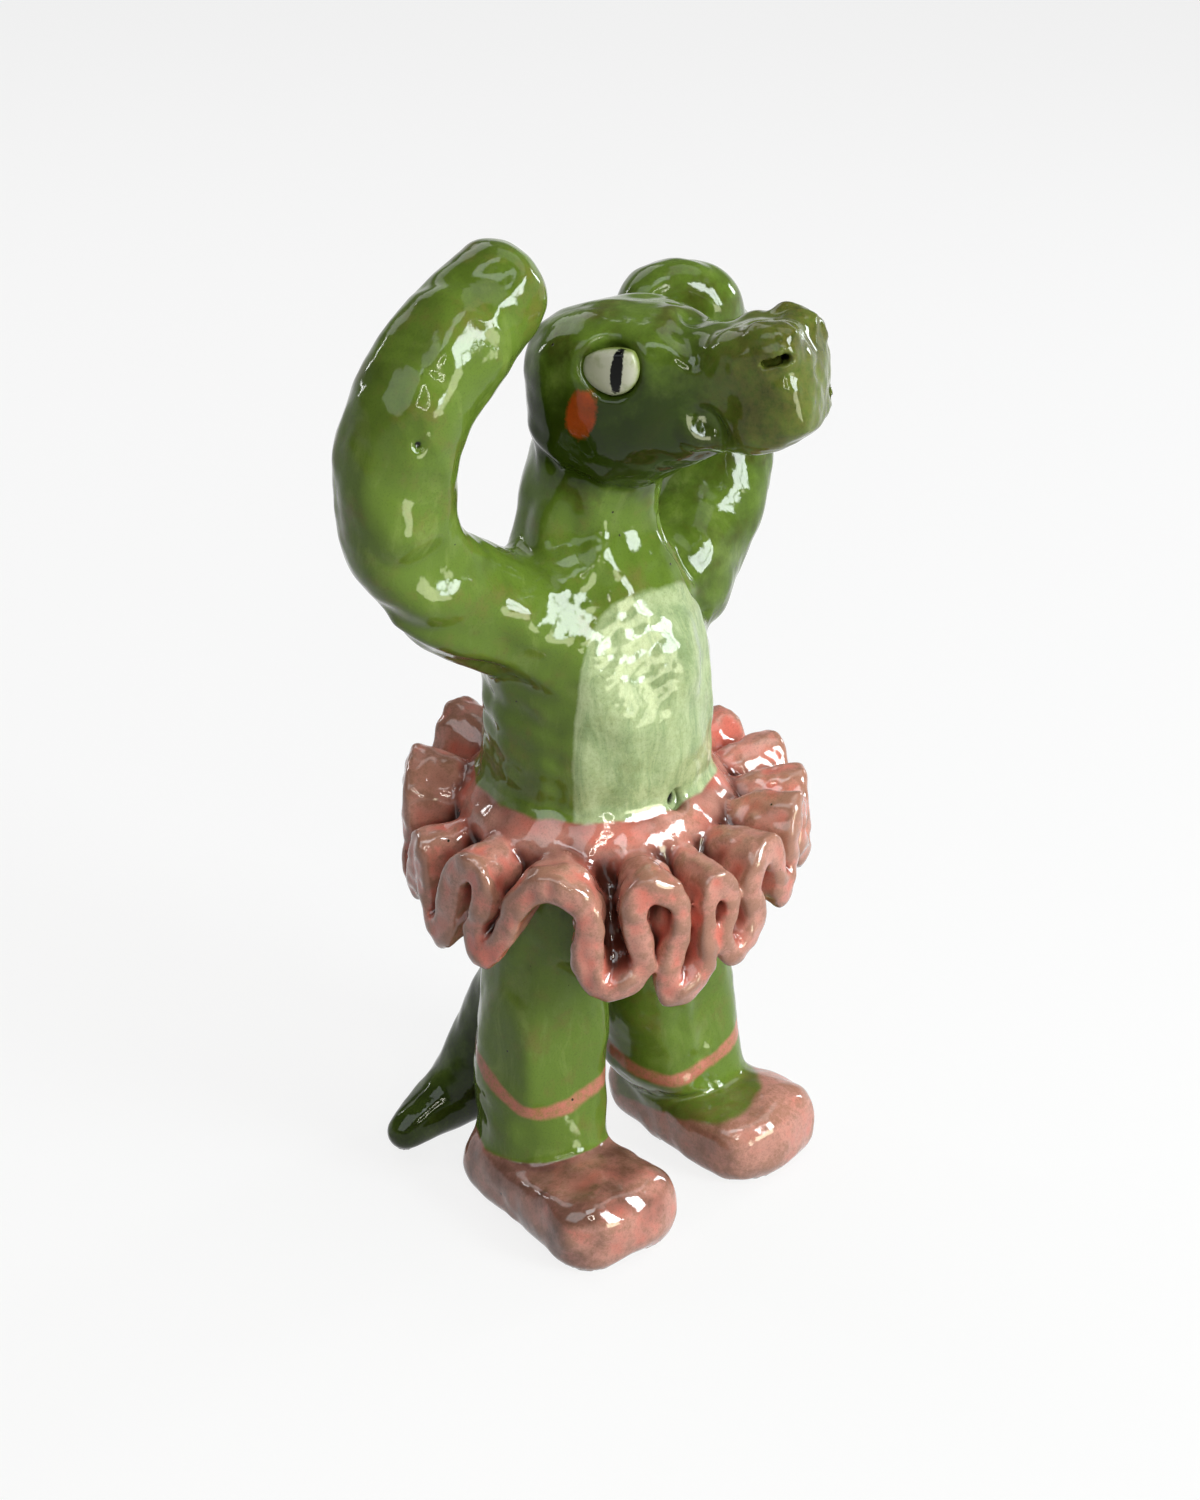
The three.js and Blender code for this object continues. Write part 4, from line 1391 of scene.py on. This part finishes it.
@dataclass
class Tutu:
    """A slab of clay gathered round the waist, whose rim is folded up and down."""

    middle: tuple[float, float] = (1.73, 0.77)
    inner_radius: float = 20.5
    gather_radius: float = 23.4
    rim_radius: float = 33.2
    gather_height: float = 72.1
    thickness: float = 5.0
    thinnest: float = 2.9
    clearance: float = 1.3
    spacing: float = 1.0
    spin_radius: float = 10.0
    top_side: tuple[tuple[float, float], ...] = (
        (0, 1), (0.25, 1), (0.5, 1), (0.75, 1), (0.95, 1), (1.07, 0.98), (1.11, 0.84), (1.125, 0.4),
    )
    shoulder: float = 4.5
    lean: float = 0.57
    turns: tuple[Turn, ...] = (
        Turn(-109, 71, 4, 4), Turn(-97, 56, 7.5, 4), Turn(-82, 73.5, 7, 5.5), Turn(-79, 56.5, 2, 7.5),
        Turn(-56, 73.5, 10, 11), Turn(-39, 54.5, 6.5, 9), Turn(-28, 73.5, 4.5, 9.5), Turn(-20, 52.5, 2, 9),
        Turn(-7, 72.5, 3.5, 4.5), Turn(-0.5, 57, 4, 8), Turn(12.5, 74.5, 7, 5), Turn(22, 62.5, 3, 5),
        Turn(32, 77), Turn(44, 63.5), Turn(57, 74.5), Turn(68, 62), Turn(79, 75), Turn(90, 60),
        Turn(101, 75), Turn(112, 59), Turn(124, 74), Turn(135, 58), Turn(147, 74), Turn(158, 58),
        Turn(169, 77.5), Turn(180, 59), Turn(192, 79.5), Turn(204, 60), Turn(224, 78), Turn(242, 59),
    )

    def slab(self) -> bmesh.types.BMesh:
        """Spin the slab's section round the waist and fold it.

        Returns:
            The closed slab, in metres.
        """
        angle, height = self._rim()
        stations = len(angle)
        clay = bmesh.new()
        section = [*self.top_side, *((reach, -face) for reach, face in reversed(self.top_side))]
        ring = [clay.verts.new((self.spin_radius + reach, 0, face)) for reach, face in section]
        edges = [clay.edges.new(pair) for pair in zip(ring, ring[1:] + ring[:1])]
        bmesh.ops.spin(
            clay,
            geom=ring + edges,
            cent=(0, 0, 0),
            axis=(0, 0, 1),
            angle=2 * math.pi,
            steps=stations,
            use_merge=True,
        )
        place = np.array([vert.co for vert in clay.verts])
        lap = np.arctan2(place[:, 1], place[:, 0]) / (2 * math.pi)
        station = np.rint(lap * stations).astype(int) % stations
        reach = np.hypot(place[:, 0], place[:, 1]) - self.spin_radius
        folded = self._fold(angle, height, station, reach, place[:, 2]) * MM
        for vert, point in zip(clay.verts, folded):
            vert.co = point
        bmesh.ops.recalc_face_normals(clay, faces=clay.faces)
        return clay

    def _knots(self) -> list[tuple[float, float]]:
        """Three points of the rim for each turn: its left side, its tip and its right side.

        Returns:
            Angle in degrees and height of each, in order round the waist.
        """
        knots = []
        for index, turn in enumerate(self.turns):
            before, after = self.turns[index - 1], self.turns[(index + 1) % len(self.turns)]
            left = self.lean * ((turn.angle - before.angle) % 360) if turn.left is None else turn.left
            right = self.lean * ((after.angle - turn.angle) % 360) if turn.right is None else turn.right
            side = turn.height - math.copysign(self.shoulder, turn.height - after.height)
            knots += [(turn.angle - left, side), (turn.angle, turn.height), (turn.angle + right, side)]
        return knots

    def _rim(self) -> tuple[np.ndarray, np.ndarray]:
        """A smooth closed line through the knots.

        Returns:
            Angles and heights of the rim's middle line, evenly spaced along it.
        """
        place = np.array(self._knots())
        place[:, 0] = np.radians(place[:, 0]) * self.rim_radius
        lap = np.array([2 * math.pi * self.rim_radius, 0])
        before, after = np.roll(place, 1, axis=0), np.roll(place, -1, axis=0)
        before[0] -= lap
        after[-1] += lap
        further = np.roll(place, -2, axis=0)
        further[-2:] += lap
        share = np.linspace(0, 1, 24, endpoint=False)[:, None, None]
        curve = 0.5 * (
            2 * place
            + (after - before) * share
            + (2 * before - 5 * place + 4 * after - further) * share**2
            + (3 * place - before - 3 * after + further) * share**3
        )
        curve = curve.transpose(1, 0, 2).reshape(-1, 2)
        curve = np.vstack([curve, curve[:1] + lap])
        length = np.concatenate([[0], np.cumsum(np.linalg.norm(np.diff(curve, axis=0), axis=1))])
        even = np.linspace(0, length[-1], round(length[-1] / self.spacing), endpoint=False)
        return np.interp(even, length, curve[:, 0]) / self.rim_radius, np.interp(even, length, curve[:, 1])

    def _thickness(self, angle: np.ndarray, height: np.ndarray) -> np.ndarray:
        """Thin the slab where two strands lie close.

        Args:
            angle, height: The rim's middle line.

        Returns:
            Thickness at each station of the rim.
        """
        place = np.stack([angle * self.rim_radius, height], axis=1)
        gap = np.linalg.norm(place[:, None] - place[None], axis=2)
        along = np.abs(np.arange(len(place))[:, None] - np.arange(len(place))[None]) * self.spacing
        gap[along < 2.2 * self.thickness] = 99
        thick = np.clip(gap.min(axis=1) - self.clearance, self.thinnest, self.thickness)
        for _ in range(12):
            thick = (np.roll(thick, 1) + 2 * thick + np.roll(thick, -1)) / 4
        return thick

    def _fold(
        self, angle: np.ndarray, height: np.ndarray, station: np.ndarray, reach: np.ndarray, face: np.ndarray
    ) -> np.ndarray:
        """Points of the folded slab.

        Args:
            angle, height: The rim's middle line.
            station: Place of each point along the rim.
            reach: Place from the band, 0, to the rim, 1.
            face: Place through the slab, from 1 on top to -1 below.

        Returns:
            One row for each point.
        """
        count = len(angle)
        lap = np.linspace(0, 2 * math.pi, count, endpoint=False)
        blur = np.exp(-((np.minimum(np.arange(count), count - np.arange(count)) / 20) ** 2))
        blur = np.fft.rfft(blur / blur.sum())
        start = np.fft.irfft(np.fft.rfft(angle - lap) * blur, count) + lap
        top = self.gather_height + 0.15 * (height - height.mean())
        top = np.fft.irfft(np.fft.rfft(top) * blur, count)

        def sheet(index: np.ndarray, out: np.ndarray) -> np.ndarray:
            """Place points on the slab's middle sheet.

            Args:
                index: Stations along the rim.
                out: Places from the band, 0, to the rim, 1.

            Returns:
                One row for each point.
            """
            radius = self.inner_radius + (self.rim_radius - self.inner_radius) * out
            share = (radius - self.gather_radius) / (self.rim_radius - self.gather_radius)
            share = np.clip(share, 0, 1) ** 0.36
            wrap, index = np.divmod(index, count)
            turn = start[index] + share * (angle[index] - start[index]) + wrap * 2 * math.pi
            rise = top[index] + share * (height[index] - top[index])
            return np.stack(
                [self.middle[0] + np.sin(turn) * radius, self.middle[1] - np.cos(turn) * radius, rise], axis=1
            )

        flat = np.minimum(reach, 1)
        along = sheet(station + 1, flat) - sheet(station - 1, flat)
        outward = sheet(station, flat) - sheet(station, flat - 0.08)
        across = np.cross(outward, along)
        across /= np.linalg.norm(across, axis=1, keepdims=True)
        outward /= np.linalg.norm(outward, axis=1, keepdims=True)
        span = self.rim_radius - self.inner_radius
        half = self._thickness(angle, height)[station] / 2
        rounded = np.maximum(reach - 1, 0) * span
        return sheet(station, flat) + across * (face * half)[:, None] + outward * rounded[:, None]


@dataclass
class Legs:
    """Legs with painted ribbons, and the clogs under them."""

    right_middle: tuple[float, float] = (-13.7, 1.5)
    left_middle: tuple[float, float] = (19.4, 1.5)
    right_ribbon: tuple[tuple[float, float], ...] = (
        (-125, 28.5), (-70, 24), (-55, 21.5), (-35, 21), (-10, 21.5), (45, 23.5), (120, 27.5), (180, 29.5),
    )
    left_ribbon: tuple[tuple[float, float], ...] = (
        (-150, 22), (-90, 18), (-70, 17), (-50, 16.5), (-25, 17.5), (0, 18.5), (35, 20), (120, 22.5),
    )
    ribbon_half: float = 1.25
    right_clog_edge: Route = ((-26.5, 2, 10.5), (-26, -10, 10.8), (-25.5, -17.5, 11.2), (-27.4, -23.3, 7.2))
    left_clog_edge: Route = ((9, -2, 10), (9.6, -12, 10.5), (11.5, -20, 10.5), (12, -25, 6.5))
    tongue_middle: tuple[float, float] = (18.0, -3.0)
    tongue_axis: tuple[float, float] = (-0.31, -0.95)
    tongue_half: tuple[float, float] = (18.0, 12.0)

    def sculpt(self, skin: ClaySkin) -> None:
        """Press the clogs, raise their edges, and fill and flatten the legs.

        Args:
            skin: The luted clay.
        """
        shoes = step(skin.on("right_shoe", "left_shoe"), -1, 1)
        skin.thumb((-20, -19.5, 13), 3.6, -0.8, shoes)
        skin.thumb((-14.7, -22.6, 13.7), 3.0, -0.6, shoes)
        skin.thumb((17, -20, 13.5), 4.0, -0.7, shoes)
        skin.score(self.right_clog_edge, 2.2, -0.6, shoes)
        skin.score(self.left_clog_edge, 2.2, -0.6, shoes)
        height = skin.points[:, 2]
        inner = step(-skin.normals()[:, 0], 0.0, 0.8) * step(skin.on("left_leg"), -1, 1)
        skin.push(3.3 * inner * step(height, 9, 16) * (1 - step(height, 45, 52)))
        other = step(skin.normals()[:, 0], 0.0, 0.8) * step(skin.on("right_leg"), -1, 1)
        skin.push(0.9 * other * step(height, 13, 20) * (1 - step(height, 45, 52)))
        legs = step(skin.on("right_leg", "left_leg"), -1, 1)
        skin.score([(-17.6, -6, 46), (-19.8, -5.8, 31.5), (-21.2, -6.1, 24)], 2.4, -0.5, legs)
        skin.score([(-8, -9.5, 46), (-7.5, -9, 32), (-7, -8.5, 22)], 2.4, -0.45, legs)
        skin.pat((-16.7, -9.6, 34), (-0.24, -0.97, 0.05), 13, 0.75)
        skin.pat((-25, -0.4, 34), (-0.98, -0.17, 0.03), 11, 0.7)
        skin.thumb((16, -9.5, 30), 6, -0.5, legs)

    def paint(self, skin: ClaySkin) -> None:
        """Lay the ribbons' field of glaze, and paint shade and smudges on the clogs.

        Args:
            skin: The luted clay.
        """
        points = skin.points
        ribbon = np.full(len(points), -9.0)
        for node, middle, line in (
            ("right_leg", self.right_middle, self.right_ribbon),
            ("left_leg", self.left_middle, self.left_ribbon),
        ):
            knots = np.array(line)
            turns = np.arange(-180, 180)
            level = np.interp(turns, knots[:, 0], knots[:, 1], period=360)
            for _ in range(120):
                level = (np.roll(level, 1) + 2 * level + np.roll(level, -1)) / 4
            height = np.interp(self._round(points, middle), turns, level, period=360)
            on_line = self.ribbon_half - np.abs(points[:, 2] - height)
            ribbon = np.where(skin.on(node) > -0.5, on_line, ribbon)
        skin.glaze["ribbon"] = ribbon
        self._shade_and_smudge(skin)

    @staticmethod
    def _shade_and_smudge(skin: ClaySkin) -> None:
        """Paint shade, broken up with smudges, on the clogs' tops and on their sides that face the figure's
        right, and keep the front of the toes less brown.

        Args:
            skin: The luted clay.
        """
        shoes = skin.on("right_shoe", "left_shoe")
        normals = skin.normals()
        upward, aside = step(normals[:, 2], 0.2, 0.8), step(-normals[:, 0], 0.2, 0.8)
        # Painted shade on the tops and the right-facing sides, heavier on the right clog, with smudges from
        # the ripple.
        soot_and_shade = 0.25 * ripple(skin.points, 6.5, 31) + 0.5 * upward + 0.3 * aside - 0.75
        soot_and_shade = np.where(skin.on("right_shoe") > 0, soot_and_shade + 0.2, soot_and_shade - 0.5)
        soot_and_shade = np.where(shoes > 0, np.minimum(soot_and_shade, 0), -9)
        skin.glaze["hollow"] = np.maximum(skin.glaze["hollow"], soot_and_shade)
        toe = step(-normals[:, 1], 0.2, 0.8) * step(-skin.points[:, 1], 14, 22)
        skin.glaze["worn"] = skin.glaze["worn"] - np.where(shoes > 0, 4 * toe, 0)

    def shoe_green(self, skin: ClaySkin) -> np.ndarray:
        """Let the green run over the left clog's instep.

        Args:
            skin: The luted clay.

        Returns:
            How far inside that green each point lies, below 0 outside it.
        """
        along = np.array(self.tongue_axis)
        place = skin.points[:, :2] - np.array(self.tongue_middle)
        forward = place @ along / self.tongue_half[0]
        aside = (place[:, 0] * along[1] - place[:, 1] * along[0]) / self.tongue_half[1]
        tongue = (1 - np.hypot(forward, aside)) * 8
        side = skin.points[:, 2] - (6.7 - 0.25 * skin.points[:, 1])
        inside = np.minimum(np.where(forward < 0.2, np.maximum(tongue, -2), tongue), side)
        return np.where(skin.on("left_shoe", "left_leg") > -1, inside, -9)

    @staticmethod
    def _round(points: np.ndarray, middle: tuple[float, float]) -> np.ndarray:
        """Degrees round a leg from the front."""
        return np.degrees(np.arctan2(points[:, 0] - middle[0], middle[1] - points[:, 1]))


@dataclass
class Studio:
    """Floor, lamps, room and camera."""

    camera_place: tuple[float, float, float] = (-264.6, -314.9, 292.3)
    camera_aim: tuple[float, float, float] = (-6.87, -7.83, 88.0)
    lens: float = 65.45
    middle: tuple[float, float, float] = (0.0, 0.0, 90.0)
    paper: float = 0.913

    def build(self) -> None:
        """Set the whole stage."""
        self._camera()
        self._floor()
        self._world()
        sky, leaves = (0.9, 0.97, 1.0), (1.0, 1.0, 0.72)
        for side in (-1, 1):
            self._window("window", 20 + 4.6 * side, 24, 700, (95, 250), 22.0, sky, Sight.LIGHT)
            self._window("window_glint", 20 + 7.5 * side, 26, 700, (150, 330), 34.0, sky, Sight.MIRROR)
        self._window("garden", 10, 3, 700, (240, 180), 7.5, leaves, Sight.LIGHT)
        self._window("garden_glint", 8, 4, 700, (300, 200), 14.0, leaves, Sight.MIRROR)
        self._window("sky_glint", -80, 42, 800, (560, 420), 3.2, sky, Sight.MIRROR)
        self._window("roof_glint", -32, 60, 800, (360, 220), 7.0, sky, Sight.MIRROR)
        self._window("side_window", 88, 16, 800, (120, 200), 18.0, sky)
        self._window("ceiling", 60, 66, 900, (800, 600), 2.0, (1, 0.99, 0.97))
        self._window("back_strip", -160, 24, 800, (30, 260), 20.0, (1, 1, 1))
        self._window("back_fill", 175, 40, 900, (600, 400), 2.0, (1, 1, 1))
        self._ring(-28, 30, 560, 90, 4.0, 70.0)

    def _camera(self) -> None:
        """Stand the camera where the photograph was taken."""
        data = bpy.data.cameras.new("camera")
        data.sensor_width = 36
        data.lens = self.lens
        data.clip_start = 0.01
        camera = bpy.data.objects.new("camera", data)
        bpy.context.scene.collection.objects.link(camera)
        place, aim = Vector(self.camera_place) * MM, Vector(self.camera_aim) * MM
        camera.location = place
        camera.rotation_euler = (aim - place).to_track_quat("-Z", "Y").to_euler()
        bpy.context.scene.camera = camera

    @staticmethod
    def _seen(mix: Recipe) -> bpy.types.NodeSocket:
        """Find rays that show the background: from the camera, in gloss and through glass.

        Args:
            mix: The floor's nodes.

        Returns:
            1 for such a ray, or else 0.
        """
        path = mix.node("ShaderNodeLightPath")
        seen = mix.sum(path.outputs["Is Camera Ray"], path.outputs["Is Glossy Ray"], "MAXIMUM")
        return mix.sum(seen, path.outputs["Is Transmission Ray"], "MAXIMUM")

    def _floor(self) -> None:
        """Lay a wide pale floor that keeps the figure's shadow."""
        disc = bmesh.new()
        bmesh.ops.create_circle(disc, cap_ends=True, segments=96, radius=6)
        mesh = bpy.data.meshes.new("floor")
        disc.to_mesh(mesh)
        disc.free()
        mix = Recipe("floor_paper")
        plain = mix.node("ShaderNodeBsdfDiffuse")
        plain.inputs["Color"].default_value = (0.29, 0.29, 0.29, 1)
        veil = mix.node("ShaderNodeBsdfDiffuse")
        veil.inputs["Color"].default_value = (0.13, 0.13, 0.13, 1)
        glow = mix.node("ShaderNodeEmission")
        glow.inputs["Color"].default_value = (1, 1, 1, 1)
        glow.inputs["Strength"].default_value = 0.83
        both = mix.node("ShaderNodeAddShader")
        mix.feed(both.inputs[0], veil.outputs[0])
        mix.feed(both.inputs[1], glow.outputs[0])
        choose = mix.node("ShaderNodeMixShader")
        mix.feed(choose.inputs[0], self._seen(mix))
        mix.feed(choose.inputs[1], plain.outputs[0])
        mix.feed(choose.inputs[2], both.outputs[0])
        output = mix.node("ShaderNodeOutputMaterial")
        mix.feed(output.inputs["Surface"], choose.outputs[0])
        mesh.materials.append(mix.material)
        link("floor", mesh)

    def _world(self) -> None:
        """A dim even room, seen as pale paper."""
        world = bpy.data.worlds.new("room")
        bpy.context.scene.world = world
        world.use_nodes = True
        tree = world.node_tree
        tree.nodes.clear()
        path = tree.nodes.new("ShaderNodeLightPath")
        first = tree.nodes.new("ShaderNodeMath")
        second = tree.nodes.new("ShaderNodeMath")
        first.operation = second.operation = "MAXIMUM"
        tree.links.new(path.outputs["Is Camera Ray"], first.inputs[0])
        tree.links.new(path.outputs["Is Glossy Ray"], first.inputs[1])
        tree.links.new(first.outputs[0], second.inputs[0])
        tree.links.new(path.outputs["Is Transmission Ray"], second.inputs[1])
        dim = tree.nodes.new("ShaderNodeBackground")
        dim.inputs["Strength"].default_value = 0.14
        dim.inputs["Color"].default_value = (1, 1, 1, 1)
        paper = tree.nodes.new("ShaderNodeBackground")
        source = tree.nodes.new("ShaderNodeTexCoord")
        parts = tree.nodes.new("ShaderNodeSeparateXYZ")
        tree.links.new(source.outputs["Generated"], parts.inputs[0])
        fade = tree.nodes.new("ShaderNodeMapRange")
        fade.interpolation_type = "SMOOTHSTEP"
        tree.links.new(parts.outputs["Z"], fade.inputs["Value"])
        fade.inputs["From Min"].default_value = 0.08
        fade.inputs["From Max"].default_value = 0.3
        fade.inputs["To Min"].default_value = self.paper
        fade.inputs["To Max"].default_value = 0.16
        tree.links.new(fade.outputs["Result"], paper.inputs["Strength"])
        paper.inputs["Color"].default_value = (1, 1, 1, 1)
        choose = tree.nodes.new("ShaderNodeMixShader")
        tree.links.new(second.outputs[0], choose.inputs[0])
        tree.links.new(dim.outputs[0], choose.inputs[1])
        tree.links.new(paper.outputs[0], choose.inputs[2])
        output = tree.nodes.new("ShaderNodeOutputWorld")
        tree.links.new(choose.outputs[0], output.inputs["Surface"])

    @staticmethod
    def _toward(azimuth: float, elevation: float) -> Vector:
        """Unit direction from the figure, with azimuth 0 in front and 90 at its left."""
        turn, lift = math.radians(azimuth), math.radians(elevation)
        return Vector((math.sin(turn) * math.cos(lift), -math.cos(turn) * math.cos(lift), math.sin(lift)))

    def _window(
        self,
        name: str,
        azimuth: float,
        elevation: float,
        away: float,
        size: tuple[float, float],
        glow: float,
        tint: tuple[float, float, float],
        sight: Sight = Sight.BOTH,
    ) -> None:
        """Hang an oblong lamp that faces the figure.

        Args:
            name: The lamp's name.
            azimuth, elevation: Its direction from the figure, in degrees.
            away: Its distance.
            size: Its width and height.
            glow: Its brightness, where 1 is white paper.
            tint: Its colour.
            sight: Whether it lights the clay, is mirrored in it, or both.
        """
        data = bpy.data.lights.new(name, "AREA")
        data.shape = "RECTANGLE"
        data.size, data.size_y = (side * MM for side in size)
        data.energy = glow * math.pi * data.size * data.size_y
        data.color = tint
        lamp = bpy.data.objects.new(name, data)
        bpy.context.scene.collection.objects.link(lamp)
        direction = self._toward(azimuth, elevation)
        lamp.location = Vector(self.middle) * MM + direction * (away * MM)
        lamp.rotation_euler = (-direction).to_track_quat("-Z", "Y").to_euler()
        lamp.visible_camera = False
        lamp.visible_diffuse, lamp.visible_glossy = sight.value

    def _ring(
        self, azimuth: float, elevation: float, away: float, radius: float, half_width: float, glow: float
    ) -> None:
        """Hang a ring lamp beside the camera.

        Args:
            azimuth, elevation: Its direction from the figure, in degrees.
            away: Its distance.
            radius, half_width: Of its tube.
            glow: Its brightness, where 1 is white paper.
        """
        ring = bmesh.new()
        outer = bmesh.ops.create_circle(ring, segments=64, radius=(radius + half_width) * MM)["verts"]
        inner = bmesh.ops.create_circle(ring, segments=64, radius=(radius - half_width) * MM)["verts"]
        rims = {edge for vert in outer + inner for edge in vert.link_edges}
        bmesh.ops.bridge_loops(ring, edges=list(rims))
        direction = self._toward(azimuth, elevation)
        stand = Matrix.Translation(Vector(self.middle) * MM + direction * (away * MM))
        facing = direction.to_track_quat("Z", "Y").to_matrix().to_4x4()
        bmesh.ops.transform(ring, matrix=stand @ facing, verts=ring.verts)
        mesh = bpy.data.meshes.new("ring_lamp")
        ring.to_mesh(mesh)
        ring.free()
        mix = Recipe("ring_glow")
        light = mix.node("ShaderNodeEmission")
        light.inputs["Color"].default_value = (1, 0.97, 0.86, 1)
        light.inputs["Strength"].default_value = glow
        output = mix.node("ShaderNodeOutputMaterial")
        mix.feed(output.inputs["Surface"], light.outputs[0])
        mesh.materials.append(mix.material)
        lamp = link("ring_lamp", mesh)
        lamp.visible_camera = False


@dataclass
class Crocodile:
    """The whole figure, from wet clay to glazed pieces."""

    skin: ClaySkin = field(default_factory=ClaySkin)
    head: Head = field(default_factory=Head)
    torso: Torso = field(default_factory=Torso)
    arms: Arms = field(default_factory=Arms)
    tutu: Tutu = field(default_factory=Tutu)
    legs: Legs = field(default_factory=Legs)

    def build(self) -> list[bpy.types.Object]:
        """Model, glaze and part the figure.

        Returns:
            Its pieces.
        """
        self._shape()
        self._paint()
        finishes = {
            Slot.GREEN: BodyGlaze(Slot.GREEN).build(),
            Slot.PINK: BodyGlaze(Slot.PINK, index=1.5).build(),
        }
        pieces = []
        for node, shell in self.skin.part().items():
            left = Closer().close(shell)
            slot = SKIN_NODES[node]
            shell.name = f"glazed_{node}"
            shell.data.name = shell.name
            shell.data.materials.clear()
            shell.data.materials.append(finishes[slot])
            shell.data.polygons.foreach_set("material_index", np.zeros(len(shell.data.polygons), np.int32))
            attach(shell, BODY)
            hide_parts(node)
            log.info("%s: %d faces, %d open edges", shell.name, len(shell.data.polygons), left)
            pieces.append(shell)
        return pieces + self.head.eyes(EyeGlaze().build())

    def _shape(self) -> None:
        """Lute, smooth and pinch the clay."""
        skin = self.skin
        skin.lumps["ruffle"] = self.tutu.slab()
        skin.lute()
        skin.points = skin.soften(skin.points, 7)
        skin.measure()
        gathered = step(skin.on("ruffle"), -2, 2)
        skin.points = skin.soften(skin.points, 30, 0.5 * (1 - 0.92 * gathered))
        muzzle = self._seam_share(("head", "snout"), 8)
        joints = self._seam_share(("torso", "right_arm"), 10) + self._seam_share(("torso", "left_arm"), 7)
        joints += muzzle + self._seam_share(("torso", "waistband"), 3)
        for side in ("right", "left"):
            joints += self._seam_share((f"{side}_leg", f"{side}_shoe"), 6)
        skin.points = skin.soften(skin.points, 70, 0.5 * np.clip(joints, 0, 1))
        skin.points = skin.soften(skin.points, 90, 0.5 * np.clip(muzzle, 0, 1))
        lumps = 0.36 * ripple(skin.points, 14, 3) + 0.1 * ripple(skin.points, 7.5, 4)
        lumps += 0.06 * ripple(skin.points, 4.5, 8) + 0.025 * ripple(skin.points, 3.0, 9)
        pinched = 0.18 * ripple(skin.points, 4.4, 12) + 0.07 * ripple(skin.points, 2.5, 13)
        skin.push(lumps * (1 - 0.5 * gathered) + pinched * gathered)
        self.head.sculpt(skin)
        self.torso.sculpt(skin)
        self.arms.sculpt(skin)
        self.legs.sculpt(skin)
        skin.settle()

    def _seam_share(self, pair: tuple[str, str], width: float) -> np.ndarray:
        """1 on the seam of two pieces, fading to 0 at a width from it."""
        first, second = (self.skin.near[node] for node in pair)
        return 1 - step(np.maximum(first, second), 0.3, width)

    def _paint(self) -> None:
        """Lay every field of glaze and of painted shade on the finished shape."""
        skin = self.skin
        skin.glaze["ridge"] = skin.ridges()
        skin.glaze["pit"] = np.full(len(skin.points), -9.0)
        # Painted shade deep in the folds, read from how far below the evened skin a point lies.
        skin.glaze["hollow"] = skin.hollows() - 0.3
        # Painted shade, with some thick glaze, on the tail and the left arm.
        shaded_arm = np.minimum(skin.on("left_arm"), 0) - 0.5
        skin.glaze["deep"] = np.maximum(np.minimum(skin.on("tail"), 2.0), shaded_arm)
        skin.glaze["worn"] = np.minimum(3 * skin.on("right_shoe", "left_shoe"), 5)
        self.head.paint(skin)
        self.torso.paint(skin)
        self.arms.paint(skin)
        self.legs.paint(skin)
        pink = skin.on("ruffle", "waistband", "right_shoe", "left_shoe")
        pink = np.where(skin.points[:, 2] < 20, np.minimum(pink, -self.legs.shoe_green(skin)), pink)
        height = skin.points[:, 2]
        waist = (skin.on("torso", "waistband", "ruffle") > 0) & (height > 60)
        flare = np.minimum(1.5 * (skin.near["torso"] - 1.2), 80.5 - height)
        band = np.minimum(np.maximum(self.torso.waist_line - height, flare), height - 66)
        band = np.maximum(band, skin.on("ruffle"))
        skin.glaze["pink"] = np.where(waist & (height > 66), band, pink)


def main() -> None:
    """Build the stage and the figure."""
    logging.basicConfig(level=logging.INFO)
    bpy.context.scene.view_settings.view_transform = "Standard"
    Studio().build()
    for piece in Crocodile().build():
        log.info("%s of %d faces rides on %s", piece.name, len(piece.data.polygons), BODY)


if __name__ == "__main__":
    main()
